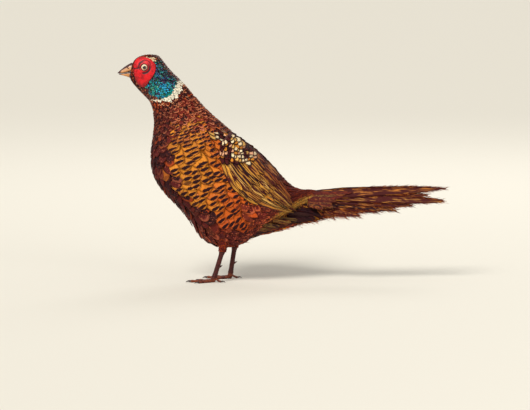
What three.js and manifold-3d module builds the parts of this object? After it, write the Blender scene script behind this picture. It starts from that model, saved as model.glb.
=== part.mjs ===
// A life-size cock common pheasant of the ring-necked form, standing in profile.
// Millimetres, +Z up, bill towards -X, the bird's left side towards -Y.
// The origin is under the middle of the bird's bounding box, on the surface that it stands on.
import * as THREE from "three";
import { mergeVertices } from "three/addons/utils/BufferGeometryUtils.js";
import Module from "manifold-3d";

const wasm = await Module();
wasm.setup();

// Sizes of the whole bird
const GAP = 0.3;
const CLEAR = 0.4;
const SQUARENESS = 2.2;
const LEFT = -1;
const RIGHT = 1;

// The body from the bill's base to the root of the tail. Each row is a ring across it:
// front x, front z, back x, back z, half width.
const BODY_RINGS = [
  [-169, 405, -164, 437, 8.5],
  [-162, 395, -154, 447, 15],
  [-155, 387, -139, 452.4, 19.5],
  [-148, 379.4, -122, 451.8, 22],
  [-141.4, 372.8, -106, 441.6, 23.5],
  [-135.6, 367.2, -87.2, 420.8, 25],
  [-130.6, 361.4, -72.4, 406, 26.5],
  [-126.4, 353, -56, 389, 29],
  [-122.4, 338, -38, 367, 33],
  [-120.4, 318, -17, 344, 40],
  [-122.4, 294, 8, 321.4, 49],
  [-126.8, 262, 40, 294, 60],
  [-126.4, 230, 70, 270, 68],
  [-117, 200, 94, 248.6, 73],
  [-94, 170, 114, 230, 75],
  [-67, 142, 130, 213, 75],
  [-45, 112, 142, 200, 72],
  [-23, 83, 150, 193, 66],
  [14, 67, 156, 188, 60],
  [50, 73, 164, 185, 50],
  [78, 90, 171, 182.5, 41],
  [110, 104, 178, 180, 32],
  [138, 120, 181, 175, 25],
  [162, 134, 179, 169, 19],
];
const NAPE = 5;
const COLLAR_END = 7;
const NECK_BASE = 10;
const TAIL_HEAD = BODY_RINGS.length - 1;

// Head
const BILL_TIP = new THREE.Vector3(-193.4, 0, 415.6);
const BILL_BASE_X = -166.9;
const BILL_TILT = 5 / 32;
const EYE = { x: -141.4, z: 427.4, radius: 6.3, proud: 2.2 };
const LID_THICKNESS = 1.1;

// Legs: x and z of the ankle, x of the foot, and the lean to the side
const LEG_SPREAD = 29;
const LEGS = [
  { name: "left", side: LEFT, ankleX: 15, ankleZ: 63, footX: -2 },
  { name: "right", side: RIGHT, ankleX: 39, ankleZ: 66, footX: 30 },
];
const SHANK_RADIUS = 4.4;
const FOOT_HEIGHT = 7;
// Toes: length, spread from straight ahead in degrees (positive turns outwards), root radius
const TOES = [
  { name: "inner", length: 33, turn: -27, radius: 3.5 },
  { name: "middle", length: 46, turn: 3, radius: 3.8 },
  { name: "outer", length: 35, turn: 33, radius: 3.4 },
  { name: "hind", length: 15, turn: 162, radius: 2.8 },
];
const CLAW_LENGTH = 10;

const TAU = Math.PI * 2;
const vec = (x, y, z) => new THREE.Vector3(x, y, z);
const mix = THREE.MathUtils.lerp;
const smooth = (t) => THREE.MathUtils.smoothstep(t, 0, 1);

const frontCurve = new THREE.CatmullRomCurve3(BODY_RINGS.map((r) => vec(r[0], 0, r[1])));
const backCurve = new THREE.CatmullRomCurve3(BODY_RINGS.map((r) => vec(r[2], r[4], r[3])));

// The ring at a place along the body: its middle, the direction to its back, half depth and half width.
function ringAt(place) {
  const t = place / TAIL_HEAD;
  const front = frontCurve.getPoint(t);
  const back = backCurve.getPoint(t);
  const halfWidth = back.y;
  back.y = 0;
  const up = back.clone().sub(front);
  const halfDepth = up.length() / 2;
  return { middle: front.add(back).multiplyScalar(0.5), up: up.normalize(), halfDepth, halfWidth };
}

// The direction along the body, square to a ring, towards the tail
const alongOf = (ring) => vec(ring.up.z, 0, -ring.up.x);

const bulge = (v) => Math.sign(v) * Math.abs(v) ** (2 / SQUARENESS);

// A point on the body. The angle runs from the back, 0, round the right side.
function bodyPoint(place, angle, grow = 0) {
  const ring = ringAt(place);
  const high = (ring.halfDepth + grow) * bulge(Math.cos(angle));
  const wide = (ring.halfWidth + grow) * bulge(Math.sin(angle));
  return ring.middle.clone().addScaledVector(ring.up, high).add(vec(0, wide, 0));
}

// Which ring passes through a point of the side view, and how high on it the point lies, from -1 to 1
function ringThrough(x, z, first = 0, last = TAIL_HEAD) {
  const at = vec(x, 0, z);
  const ahead = (place) => {
    const ring = ringAt(place);
    return at.clone().sub(ring.middle).dot(alongOf(ring));
  };
  let low = first;
  let high = last;
  for (let i = 0; i < 30; i++) {
    const half = (low + high) / 2;
    if (ahead(half) > 0) low = half;
    else high = half;
  }
  const ring = ringAt(low);
  return { ring, height: at.sub(ring.middle).dot(ring.up) / ring.halfDepth };
}

// How far out the body's right side is at a point of the side view. Past EDGE it runs on straight.
const EDGE = 0.93;
function sideOfBody(x, z, first, last) {
  const { ring, height } = ringThrough(x, z, first, last);
  const out = (h) => ring.halfWidth * (1 - Math.abs(h) ** SQUARENESS) ** (1 / SQUARENESS);
  const h = Math.abs(height);
  if (h <= EDGE) return out(h);
  const slope = (out(EDGE) - out(EDGE - 0.02)) / 0.02;
  return out(EDGE) + slope * (h - EDGE);
}

// Closed mesh from rings of points, each ring in the same order, with a cap on each end.
// Faces of the lower half of a flat ring are split like those over them, so that a thin one can't cross.
function loft(rings, flat = false) {
  const count = rings[0].length;
  const points = rings.flat();
  const faces = [];
  const quad = (a, b, c, d, other) => (other ? faces.push([a, b, d], [b, c, d]) : faces.push([a, b, c], [a, c, d]));
  for (let i = 0; i + 1 < rings.length; i++) {
    for (let j = 0; j < count; j++) {
      const next = (j + 1) % count;
      const lower = flat && j >= count / 2 && next !== 0;
      quad(i * count + j, i * count + next, (i + 1) * count + next, (i + 1) * count + j, lower);
    }
  }
  const end = (rings.length - 1) * count;
  if (flat) {
    for (let j = 0; j + 1 < count / 2; j++) {
      const mate = count - 1 - j;
      faces.push([j, mate, j + 1], [j + 1, mate, mate - 1]);
      faces.push([end + j, end + j + 1, end + mate], [end + j + 1, end + mate - 1, end + mate]);
    }
  } else {
    const middleOf = (ring) => ring.reduce((sum, p) => sum.add(p), vec(0, 0, 0)).divideScalar(count);
    points.push(middleOf(rings[0]), middleOf(rings.at(-1)));
    const [first, last] = [points.length - 2, points.length - 1];
    for (let j = 0; j < count; j++) {
      const next = (j + 1) % count;
      faces.push([first, next, j], [last, end + j, end + next]);
    }
  }
  return solid(points, faces);
}

// A manifold solid from points and faces, with its faces turned to point out
function solid(points, faces) {
  const vertProperties = new Float32Array(points.flatMap((p) => [p.x, p.y, p.z]));
  const volume = faces.reduce(
    (sum, [a, b, c]) => sum + points[a].dot(vec(0, 0, 0).crossVectors(points[b], points[c])),
    0,
  );
  const triVerts = new Uint32Array(volume > 0 ? faces.flat() : faces.flatMap(([a, b, c]) => [a, c, b]));
  return new wasm.Manifold(new wasm.Mesh({ numProp: 3, vertProperties, triVerts }));
}

// A manifold solid from a closed three.js geometry
function solidOf(geometry) {
  const bare = geometry.clone();
  bare.deleteAttribute("normal");
  bare.deleteAttribute("uv");
  const merged = mergeVertices(bare, 1e-4);
  return new wasm.Manifold(
    new wasm.Mesh({
      numProp: 3,
      vertProperties: new Float32Array(merged.attributes.position.array),
      triVerts: new Uint32Array(merged.index.array),
    }),
  );
}

const join = (pieces) => pieces.reduce((sum, piece) => sum.add(piece));
const largest = (body) => body.decompose().reduce((a, b) => (a.volume() > b.volume() ? a : b));
const mirrored = (piece, side) => (side === LEFT ? piece.mirror([0, 1, 0]) : piece);

const group = new THREE.Group();

function addNode(name, body, look) {
  const mesh = largest(body).getMesh();
  const geometry = new THREE.BufferGeometry();
  const positions = new Float32Array(mesh.numVert * 3);
  for (let i = 0; i < mesh.numVert; i++) {
    for (let axis = 0; axis < 3; axis++) {
      positions[i * 3 + axis] = mesh.vertProperties[i * mesh.numProp + axis];
    }
  }
  geometry.setAttribute("position", new THREE.BufferAttribute(positions, 3));
  geometry.setIndex(new THREE.BufferAttribute(new Uint32Array(mesh.triVerts), 1));
  geometry.computeVertexNormals();
  const made = new THREE.Mesh(geometry, look);
  made.name = name;
  group.add(made);
}

const look = (color, roughness = 0.75) => new THREE.MeshStandardMaterial({ color, roughness, metalness: 0 });
const LOOKS = {
  crown: look(0x4a2016),
  teal: look(0x125b63, 0.45),
  breast: look(0x6e2414),
  gold: look(0xc07a28),
  wing: look(0xb07a30),
  tail: look(0x5a2416),
  red: look(0xc3151c, 0.6),
  bill: look(0xc79a4c, 0.4),
  iris: look(0xe8d8a8, 0.1),
  leg: look(0x5a2618, 0.55),
  claw: look(0x2a1712, 0.4),
};

// A length of the body between two of its rings, its ends half a gap short of them
function bodyLength(first, last, rings, around, grow = 0, trimFirst = true, trimLast = true) {
  const made = [];
  for (let i = 0; i <= rings; i++) {
    const place = mix(first, last, i / rings);
    const ring = Array.from({ length: around }, (_, j) => bodyPoint(place, (j / around) * TAU, grow));
    const shift = i === 0 && trimFirst ? GAP / 2 - grow : i === rings && trimLast ? grow - GAP / 2 : 0;
    const along = alongOf(ringAt(place));
    made.push(ring.map((p) => p.addScaledVector(along, shift)));
  }
  return loft(made);
}

// The surface that a flat piece lies on, given by its distance out from the middle plane at x and z
function bedFrame(bed, x, z) {
  const STEP = 0.5;
  const y = bed(x, z);
  const dx = (bed(x + STEP, z) - bed(x - STEP, z)) / (2 * STEP);
  const dz = (bed(x, z + STEP) - bed(x, z - STEP)) / (2 * STEP);
  return { point: vec(x, y, z), out: vec(-dx, 1, -dz).normalize() };
}

// A closed pad over a bed: a grid of side-view points, raised by a thickness and sunk by a depth
function padOnBed(bed, placeOf, thicknessOf, depth, rows, columns) {
  const rings = [];
  for (let i = 0; i <= rows; i++) {
    const top = [];
    const bottom = [];
    for (let j = 0; j <= columns; j++) {
      const [x, z] = placeOf(i / rows, j / columns);
      const { point, out } = bedFrame(bed, x, z);
      top.push(point.clone().addScaledVector(out, thicknessOf(i / rows, j / columns)));
      bottom.push(point.clone().addScaledVector(out, -depth));
    }
    rings.push([...top, ...bottom.reverse()]);
  }
  return loft(rings, true);
}

const head = bodyLength(0, NAPE, 10, 26, 0, false);
const headGrown = bodyLength(0, NAPE, 10, 26, CLEAR, false);
const torso = bodyLength(NECK_BASE, TAIL_HEAD, 20, 30);
const torsoGrown = bodyLength(NECK_BASE, TAIL_HEAD, 20, 30, CLEAR);

// Eyes, with lids as an oval ring on the head
const headSide = (x, z) => sideOfBody(x, z, 0, NAPE);
const eyeY = headSide(EYE.x, EYE.z) + EYE.proud - EYE.radius;
const eyeFrame = bedFrame(headSide, EYE.x, EYE.z);
const eyeBall = (grow) =>
  solidOf(new THREE.SphereGeometry(EYE.radius + grow, 16, 10).translate(EYE.x, eyeY, EYE.z));
const lidRing = solidOf(
  new THREE.TorusGeometry(EYE.radius * 0.86, LID_THICKNESS, 6, 16)
    .scale(1.06, 0.94, 1)
    .applyQuaternion(new THREE.Quaternion().setFromUnitVectors(vec(0, 0, 1), eyeFrame.out))
    .translate(EYE.x, eyeFrame.point.y + 0.4, EYE.z),
);

const bothSides = (piece) => [piece, piece.mirror([0, 1, 0])];
addNode(
  "head",
  bothSides(eyeBall(GAP)).reduce((body, ball) => body.subtract(ball), join([head, ...bothSides(lidRing)])),
  LOOKS.crown,
);

for (const [name, side] of [["left", LEFT], ["right", RIGHT]]) {
  addNode(`eye_${name}`, mirrored(eyeBall(0), side), LOOKS.iris);
}

// Bill: rings from the head's front to the tip, each between an upper and a lower edge
function billPart(edgesAt, widthAt, length, around = 14, rings = 9) {
  const made = [];
  for (let i = 0; i <= rings; i++) {
    const t = i / rings;
    const [low, high] = edgesAt(t);
    const x = mix(BILL_BASE_X, BILL_BASE_X - length, t);
    made.push(
      Array.from({ length: around }, (_, j) => {
        const angle = (j / around) * TAU;
        const z = mix(low, high, (1 + bulge(Math.cos(angle))) / 2);
        const tilt = (z - 421) * BILL_TILT * (1 - t);
        return vec(x + tilt, widthAt(t) * bulge(Math.sin(angle)), z);
      }),
    );
  }
  return loft(made);
}
const billLength = BILL_BASE_X - BILL_TIP.x;
const culmenAt = (t) => mix(437, BILL_TIP.z + 1.2, t ** 1.25);
const mouthAt = (t) => mix(419, BILL_TIP.z, t) - 1.3 * Math.sin(Math.PI * t);
const upperBill = billPart((t) => [mouthAt(t), culmenAt(t)], (t) => mix(7.6, 0.9, t ** 1.1), billLength);
const lowerBill = billPart(
  (t) => [mix(406.5, BILL_TIP.z - 2.4, t ** 0.8), mouthAt(t * 0.9) - CLEAR],
  (t) => mix(6.6, 1, t ** 1.2),
  billLength * 0.9,
);
const nostril = solidOf(
  new THREE.SphereGeometry(1, 8, 6).scale(2.6, 1.6, 1.1).rotateY(0.5).translate(-172.5, 6.9, 427),
);
addNode("bill_upper", bothSides(nostril).reduce((bill, pit) => bill.subtract(pit), upperBill), LOOKS.bill);
addNode("bill_lower", lowerBill, LOOKS.bill);

// Red facial skin round each eye, with a lobe below it
const wattleReach = (turn) => {
  const down = Math.max(0, -Math.sin(turn + 0.15));
  return 19.5 + 2 * Math.cos(turn) + 17 * down ** 3;
};
function facialSkin() {
  const AROUND = 20;
  const RINGS = 3;
  const rings = [];
  for (let i = 0; i <= RINGS; i++) {
    const share = i / RINGS;
    rings.push(
      Array.from({ length: AROUND }, (_, j) => {
        const turn = (j / AROUND) * TAU;
        const reach = wattleReach(turn) * mix(0.3, 1, share);
        const x = EYE.x + reach * Math.cos(turn);
        const z = EYE.z + reach * Math.sin(turn);
        const { point, out } = bedFrame(headSide, x, z);
        const folds = 0.35 * Math.sin(turn * 7 + share * 4);
        return { point, out, lift: mix(2.3, 1.1, share ** 3) + folds * Math.sin(Math.PI * share) };
      }),
    );
  }
  const points = [];
  const raised = rings.map((ring) => ring.map((p) => p.point.clone().addScaledVector(p.out, p.lift)));
  const sunk = rings.map((ring) => ring.map((p) => p.point.clone().addScaledVector(p.out, -2.5)));
  points.push(...raised.flat(), ...sunk.flat());
  const at = (layer, i, j) => layer * (RINGS + 1) * AROUND + i * AROUND + (j % AROUND);
  const faces = [];
  for (let j = 0; j < AROUND; j++) {
    for (let i = 0; i < RINGS; i++) {
      faces.push([at(0, i, j), at(0, i + 1, j), at(0, i + 1, j + 1)], [at(0, i, j), at(0, i + 1, j + 1), at(0, i, j + 1)]);
      faces.push([at(1, i, j), at(1, i + 1, j + 1), at(1, i + 1, j)], [at(1, i, j), at(1, i, j + 1), at(1, i + 1, j + 1)]);
    }
    for (const [i, turned] of [[0, true], [RINGS, false]]) {
      const corners = [at(0, i, j), at(1, i, j), at(1, i, j + 1), at(0, i, j + 1)];
      if (turned) corners.reverse();
      faces.push([corners[0], corners[1], corners[2]], [corners[0], corners[2], corners[3]]);
    }
  }
  return solid(points, faces);
}
const lidRoom = solidOf(
  new THREE.CylinderGeometry(EYE.radius * 1.2 + CLEAR, EYE.radius * 1.2 + CLEAR, 30, 18).translate(EYE.x, eyeY, EYE.z),
);
const facial = facialSkin().subtract(headGrown).subtract(lidRoom);
for (const [name, side] of [["left", LEFT], ["right", RIGHT]]) {
  addNode(`wattle_${name}`, mirrored(facial, side), LOOKS.red);
}

addNode("neck_upper", bodyLength(NAPE, COLLAR_END, 5, 28), LOOKS.teal);
addNode("neck_lower", bodyLength(COLLAR_END, NECK_BASE, 6, 30), LOOKS.breast);
addNode("torso", torso, LOOKS.gold);

// Feather vane: a thin slab between its stations. A frame gives a point and the direction out of the vane
// for a place along it, from 0 at the root to 1 at the tip, and a place across it, from -1 to 1.
const VANE_THICKNESS = 0.6;
const SHORT_VANE = { stations: [0, 0.4, 0.75, 1], breadths: [0.6, 1, 0.85, 0.2] };
const LONG_VANE = { stations: [0, 0.2, 0.6, 0.85, 1], breadths: [0.5, 1, 0.95, 0.6, 0.1] };
function vane({ stations, breadths }, frameAt) {
  const rings = stations.map((t, i) => {
    const frames = [-1, 1].map((side) => frameAt(t, side * breadths[i]));
    const top = frames.map(({ point, out }) => point.clone().addScaledVector(out, VANE_THICKNESS));
    return [...top, ...frames.map(({ point }) => point).reverse()];
  });
  return loft(rings, true);
}

// Folded wing: its line in the side view, and its edges on each side of that line
const WING = { shoulder: vec(20, 0, 296), tip: vec(170, 0, 141), tipOut: 27, padThickness: 5, padEnd: 0.74 };
const wingLine = WING.tip.clone().sub(WING.shoulder);
const wingAlong = wingLine.clone().normalize();
const wingAcross = vec(-wingAlong.z, 0, wingAlong.x);
const wingLength = wingLine.length();
const arch = (share) => Math.sin(Math.PI * THREE.MathUtils.clamp(share, 0, 1));
const wingBackEdge = (share) => mix(10, 3, share) + 17 * arch(share * 1.1) ** 0.8;
const wingFrontEdge = (share) => -4 - 66 * arch(Math.max(0, share) ** 0.85) ** 0.75;

// A point of the wing in the side view, from its share of the length and of the breadth
function wingPlace(share, breadth) {
  const across = mix(wingFrontEdge(share), wingBackEdge(share), breadth);
  return WING.shoulder.clone().addScaledVector(wingAlong, share * wingLength).addScaledVector(wingAcross, across);
}

function wingShares(x, z) {
  const from = vec(x, 0, z).sub(WING.shoulder);
  const share = from.dot(wingAlong) / wingLength;
  const [front, back] = [wingFrontEdge(share), wingBackEdge(share)];
  return { share, breadth: (from.dot(wingAcross) - front) / (back - front) };
}

// The wing lies on the body's side, and runs on straight where the body narrows to the tail
function wingBed(x, z) {
  const { share } = wingShares(x, z);
  const body = sideOfBody(x, z, NECK_BASE, TAIL_HEAD);
  const free = mix(74, WING.tipOut, share);
  return mix(body, Math.max(body, free), smooth((share - 0.55) / 0.45));
}

// The outside of the pad of small feathers, which the wing's vanes come out of
function wingTop(x, z) {
  const { share, breadth } = wingShares(x, z);
  const fullness = Math.max(0, 4 * breadth * (1 - breadth)) * (1 - 0.5 * share);
  return wingBed(x, z) + 1 + WING.padThickness * fullness;
}

function wingPad() {
  const placeOf = (i, j) => {
    const at = wingPlace(mix(0.01, WING.padEnd, i), j);
    return [at.x, at.z];
  };
  const thicknessOf = (i, j) => {
    const [x, z] = placeOf(i, j);
    return (wingTop(x, z) - wingBed(x, z)) * bedFrame(wingBed, x, z).out.y;
  };
  return padOnBed(wingBed, placeOf, thicknessOf, 2.5, 8, 6);
}

// Tiers of the wing, from the front: how many vanes, the shares of the length at their roots and tips,
// the shares of the breadth that they span there, and their heights over the pad at root and tip.
// The last vane of a tier lies over the others, and its tip may end sooner by a step for each vane.
const WING_TIERS = [
  { name: "lesser coverts", count: 6, along: [0.02, 0.3], rootSpan: [0.1, 0.9], tipSpan: [0.06, 0.9], rise: [-1.8, 3.2] },
  { name: "median coverts", count: 7, along: [0.16, 0.45], rootSpan: [0.06, 0.9], tipSpan: [0.05, 0.92], rise: [-1.8, 3.4] },
  { name: "greater coverts", count: 8, along: [0.32, 0.62], rootSpan: [0.05, 0.93], tipSpan: [0.05, 0.95], rise: [-1.8, 4.2] },
  { name: "secondaries", count: 7, along: [0.48, 0.87], rootSpan: [0.36, 0.93], tipSpan: [0.3, 0.9], rise: [-0.6, 3.6] },
  { name: "primaries", count: 6, along: [0.5, 1], rootSpan: [0.08, 0.42], tipSpan: [0.2, 0.6], rise: [-1.4, -1.4], step: 0.03 },
];
const STACK = 0.95;
const STEEPEST = 0.16;

function wingTier({ count, along, rootSpan, tipSpan, rise, step = 0 }) {
  const pathAt = (k, t) => {
    const share = mix(along[0], along[1] - step * k, t);
    const place = k / (count - 1);
    return wingPlace(share, mix(mix(...rootSpan, place), mix(...tipSpan, place), t));
  };
  const vanes = [];
  for (let k = 0; k < count; k++) {
    const pitchAt = (t) => {
      const apart = pathAt(k, t).sub(pathAt(k > 0 ? k - 1 : 1, t));
      return apart.addScaledVector(wingAlong, -apart.dot(wingAlong)).length();
    };
    const halfBreadth = Math.max(5.5, 0.74 * pitchAt(0.5));
    const frameAt = (t, side) => {
      const at = pathAt(k, t);
      const ahead = pathAt(k, t + 0.01).sub(at).normalize();
      const offset = side * halfBreadth;
      const slope = Math.min(STEEPEST, STACK / pitchAt(t));
      const stack = k * (STACK - slope * pitchAt(t));
      const { point, out } = bedFrame(wingTop, at.x - ahead.z * offset, at.z + ahead.x * offset);
      return { point: point.addScaledVector(out, mix(...rise, t) - slope * offset + stack), out };
    };
    vanes.push(vane(step ? LONG_VANE : SHORT_VANE, frameAt));
  }
  return join(vanes);
}
const wing = WING_TIERS.reduce((sum, tier) => sum.add(wingTier(tier)), wingPad())
  .subtract(torsoGrown)
  .trimByPlane([0, 1, 0], 5);
for (const [name, side] of [["left", LEFT], ["right", RIGHT]]) {
  addNode(`wing_${name}`, mirrored(wing, side), LOOKS.wing);
}

// Tail: a block behind the body, with vanes on two sloping sides like a roof
const ROOF_OUT = vec(0, 0.819, 0.574);
const ROOF_DOWN = vec(0, 0.574, -0.819);
const TAIL_ROOT = { x: 187, z: 174, drop: 1.47, plane: 107.2, step: 1.1, halfBreadth: 13 };
// Tips of the tail feathers, from the middle pair outwards: x and z
const TAIL_TIPS = [
  [462, 185.5],
  [458, 160],
  [425, 172],
  [395, 152],
  [362, 143],
  [325, 140],
  [286, 129],
  [248, 126],
  [212, 119],
];
const MIDDLE_GAP = 0.25;

// A point of the right slope of the roof, from x, z and its plane's distance from the origin
const onRoof = (x, z, plane) => vec(x, (plane - ROOF_OUT.z * z) / ROOF_OUT.y, z);

const tailVanes = TAIL_TIPS.map(([x, z], k) => {
  const plane = TAIL_ROOT.plane - TAIL_ROOT.step * k;
  const root = onRoof(TAIL_ROOT.x, TAIL_ROOT.z - TAIL_ROOT.drop * k, plane);
  const tip = onRoof(x, z, plane);
  const breadth = TAIL_ROOT.halfBreadth * Math.min(1, tip.distanceTo(root) / 90);
  return vane(LONG_VANE, (t, side) => ({
    point: root.clone().lerp(tip, t).addScaledVector(ROOF_DOWN, side * breadth),
    out: ROOF_OUT,
  }));
});
// Upper coverts rise out of the block and lie over the roots of the tail feathers
const UPPER_COVERTS = [
  { tipX: 240, down: 2, lift: 1.9 },
  { tipX: 230, down: 11, lift: 0.95 },
  { tipX: 220, down: 20, lift: 0 },
];
const upperCoverts = UPPER_COVERTS.map(({ tipX, down, lift }) =>
  vane(SHORT_VANE, (t, side) => {
    const plane = 104.5 + 3.9 * Math.min(1, t / 0.4) + 1.2 * t + lift * Math.min(1, t / 0.4);
    const line = onRoof(mix(189, tipX, t), 176, plane).addScaledVector(ROOF_DOWN, mix(down * 0.6, down, t) + side * 6.5);
    return { point: line, out: ROOF_OUT };
  }),
);
const UNDER_OUT = vec(0, 0.45, -0.893);
const UNDER_ACROSS = vec(0, 0.893, 0.45);
const UNDER_COVERTS = [
  { root: vec(180, 4.5, 147), tip: vec(214, 6, 120.5) },
  { root: vec(180, 9, 151), tip: vec(207, 15, 127) },
];
const underCoverts = UNDER_COVERTS.map(({ root, tip }) =>
  vane(SHORT_VANE, (t, side) => ({
    point: root.clone().lerp(tip, t).addScaledVector(UNDER_ACROSS, side * 5.5),
    out: UNDER_OUT,
  })),
);
const tailHead = Array.from({ length: 20 }, (_, j) =>
  bodyPoint(TAIL_HEAD, (j / 20) * TAU, -2).addScaledVector(alongOf(ringAt(TAIL_HEAD)), GAP / 2));
const ovalRing = (x, z, high, wide) =>
  Array.from({ length: 20 }, (_, j) => {
    const angle = (j / 20) * TAU;
    return vec(x, wide * Math.sin(angle), z + high * Math.cos(angle));
  });
const tailBlock = loft([tailHead, ovalRing(188, 159, 22, 17), ovalRing(200, 160, 21, 15), ovalRing(206, 160, 11, 8)]);
const tailSide = join([...tailVanes, ...upperCoverts, ...underCoverts]).trimByPlane([0, 1, 0], MIDDLE_GAP);
addNode("tail", join([tailBlock, ...bothSides(tailSide)]), LOOKS.tail);

// Legs: a feathered thigh, a bare shank with a spur, and a foot of four toes with claws
function tube(places, count = 12) {
  const whole = places.at(-1)[0].clone().sub(places[0][0]);
  const across = Math.abs(whole.z) > 0.7 * whole.length() ? vec(0, 1, 0) : vec(0, 0, 1);
  return loft(
    places.map(([at, radius, squash = 1], i) => {
      const before = places[Math.max(0, i - 1)][0];
      const after = places[Math.min(places.length - 1, i + 1)][0];
      const along = after.clone().sub(before).normalize();
      const side = across.clone().cross(along).normalize();
      const up = along.clone().cross(side);
      return Array.from({ length: count }, (_, j) => {
        const angle = (j / count) * TAU;
        const out = side.clone().multiplyScalar(radius * Math.sin(angle));
        return out.addScaledVector(up, radius * squash * Math.cos(angle)).add(at);
      });
    }),
  );
}

const floorRoom = solidOf(new THREE.BoxGeometry(900, 400, 60).translate(0, 0, -30));

for (const leg of LEGS) {
  const y = leg.side * LEG_SPREAD;
  const ankle = vec(leg.ankleX, y, leg.ankleZ);
  const hip = vec(leg.ankleX + 8, leg.side * 33, 118);
  const thighRadius = (t) => mix(27, SHANK_RADIUS + 2.6, smooth(t) ** 0.8);
  const thigh = tube(
    Array.from({ length: 8 }, (_, i) => [hip.clone().lerp(ankle, i / 7), thighRadius(i / 7)]),
    18,
  ).subtract(torsoGrown);

  const foot = vec(leg.footX, y, FOOT_HEIGHT);
  const down = foot.clone().sub(ankle).normalize();
  const shankTop = ankle.clone().addScaledVector(down, GAP + 0.1);
  const shankEnd = foot.clone().addScaledVector(down, -4);
  const shankRadius = (t) => SHANK_RADIUS * (1 + 0.32 * (1 - smooth(t * 5)) + 0.16 * smooth(t * 5 - 4));
  const shank = tube(
    Array.from({ length: 8 }, (_, i) => [shankTop.clone().lerp(shankEnd, i / 7), shankRadius(i / 7)]),
  );
  const spurRoot = shankTop.clone().lerp(shankEnd, 0.64);
  const spurTip = vec(12.5, -leg.side * 3, 3);
  const spur = tube(
    [0, 0.3, 0.6, 0.85, 1].map((t) => [
      spurRoot.clone().addScaledVector(spurTip, t).add(vec(0, 0, 2.5 * t * t)),
      mix(3, 0.5, t),
    ]),
    8,
  );
  addNode(`shank_${leg.name}`, shank.add(spur), LOOKS.leg);
  const shankRoom = tube(
    [-GAP, 12].map((t) => [shankTop.clone().addScaledVector(down, t), SHANK_RADIUS * 1.32 + CLEAR]),
  );
  addNode(`thigh_${leg.name}`, thigh.subtract(shankRoom), LOOKS.breast);

  const toes = [
    tube([
      [shankEnd.clone().addScaledVector(down, GAP), SHANK_RADIUS * 1.14],
      [foot.clone().add(vec(0, 0, 0.5)), SHANK_RADIUS * 1.2],
      [foot.clone().add(vec(-1, 0, -4)), SHANK_RADIUS * 1.05],
      [foot.clone().add(vec(-1, 0, -8)), SHANK_RADIUS * 0.8],
    ]),
  ];
  for (const toe of TOES) {
    const turn = THREE.MathUtils.degToRad(toe.turn) * leg.side;
    const ahead = vec(-Math.cos(turn), Math.sin(turn), 0);
    const hind = toe.name === "hind";
    const start = vec(leg.footX, y, hind ? 7.5 : 4.4);
    const radiusAt = (t) => toe.radius * (1 - 0.34 * t) * (1 + 0.12 * Math.cos(t * toe.length * 0.42));
    const heightAt = (t) => (hind ? mix(7.5, 2.1, smooth(t)) : mix(4.6, toe.radius * 0.58, smooth(t * 2.5)));
    const STEPS = hind ? 3 : 6;
    toes.push(
      tube(
        Array.from({ length: STEPS + 1 }, (_, i) => {
          const t = i / STEPS;
          const at = start.clone().addScaledVector(ahead, t * toe.length).setZ(heightAt(t));
          return [at, radiusAt(t), 0.92];
        }),
        8,
      ),
    );
    const clawRoot = start.clone().addScaledVector(ahead, toe.length + (hind ? 1 : CLEAR)).setZ(heightAt(1));
    const claw = tube(
      [0, 0.35, 0.7, 1].map((t) => [
        clawRoot
          .clone()
          .addScaledVector(ahead, t * CLAW_LENGTH * (hind ? 0.8 : 1))
          .add(vec(0, 0, 0.9 * Math.sin(Math.PI * t) - t * (heightAt(1) - 0.9))),
        mix(radiusAt(1) * 0.8, 0.45, t),
      ]),
      8,
    ).subtract(floorRoom);
    addNode(`claw_${leg.name}_${toe.name}`, claw, LOOKS.claw);
  }
  addNode(`foot_${leg.name}`, join(toes).subtract(floorRoom), LOOKS.leg);
}

// The origin goes under the middle of the whole bird
const box = new THREE.Box3().setFromObject(group);
group.position.set(-(box.min.x + box.max.x) / 2, -(box.min.y + box.max.y) / 2, -box.min.z);

export default group;
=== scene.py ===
# The finish of a life-size cock common pheasant: its skin, feathers, face, bill, eyes and legs.
# Metres, +Z up, bill towards -X, the bird's left side towards -Y, as the solids are.
import math

import bpy
import numpy as np
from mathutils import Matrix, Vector


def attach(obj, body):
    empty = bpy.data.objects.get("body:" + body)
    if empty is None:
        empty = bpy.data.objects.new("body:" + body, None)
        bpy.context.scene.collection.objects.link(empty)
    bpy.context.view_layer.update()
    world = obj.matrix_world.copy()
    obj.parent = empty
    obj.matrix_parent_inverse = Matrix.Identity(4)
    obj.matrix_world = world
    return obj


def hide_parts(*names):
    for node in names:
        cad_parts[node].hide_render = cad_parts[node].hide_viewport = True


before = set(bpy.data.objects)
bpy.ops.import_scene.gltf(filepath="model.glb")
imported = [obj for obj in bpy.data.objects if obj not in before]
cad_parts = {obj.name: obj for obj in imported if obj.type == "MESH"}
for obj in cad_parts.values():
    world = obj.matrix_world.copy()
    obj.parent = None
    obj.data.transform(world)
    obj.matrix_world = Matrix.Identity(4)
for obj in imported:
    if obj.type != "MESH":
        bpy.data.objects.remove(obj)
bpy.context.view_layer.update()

# The shapes below are in the millimetres that the solids were drawn in; MIDDLE is their shift along X
MIDDLE = 134.3
SQUARENESS = 2.2
LEFT, RIGHT = -1, 1
SIDES = (("left", LEFT), ("right", RIGHT))

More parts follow.
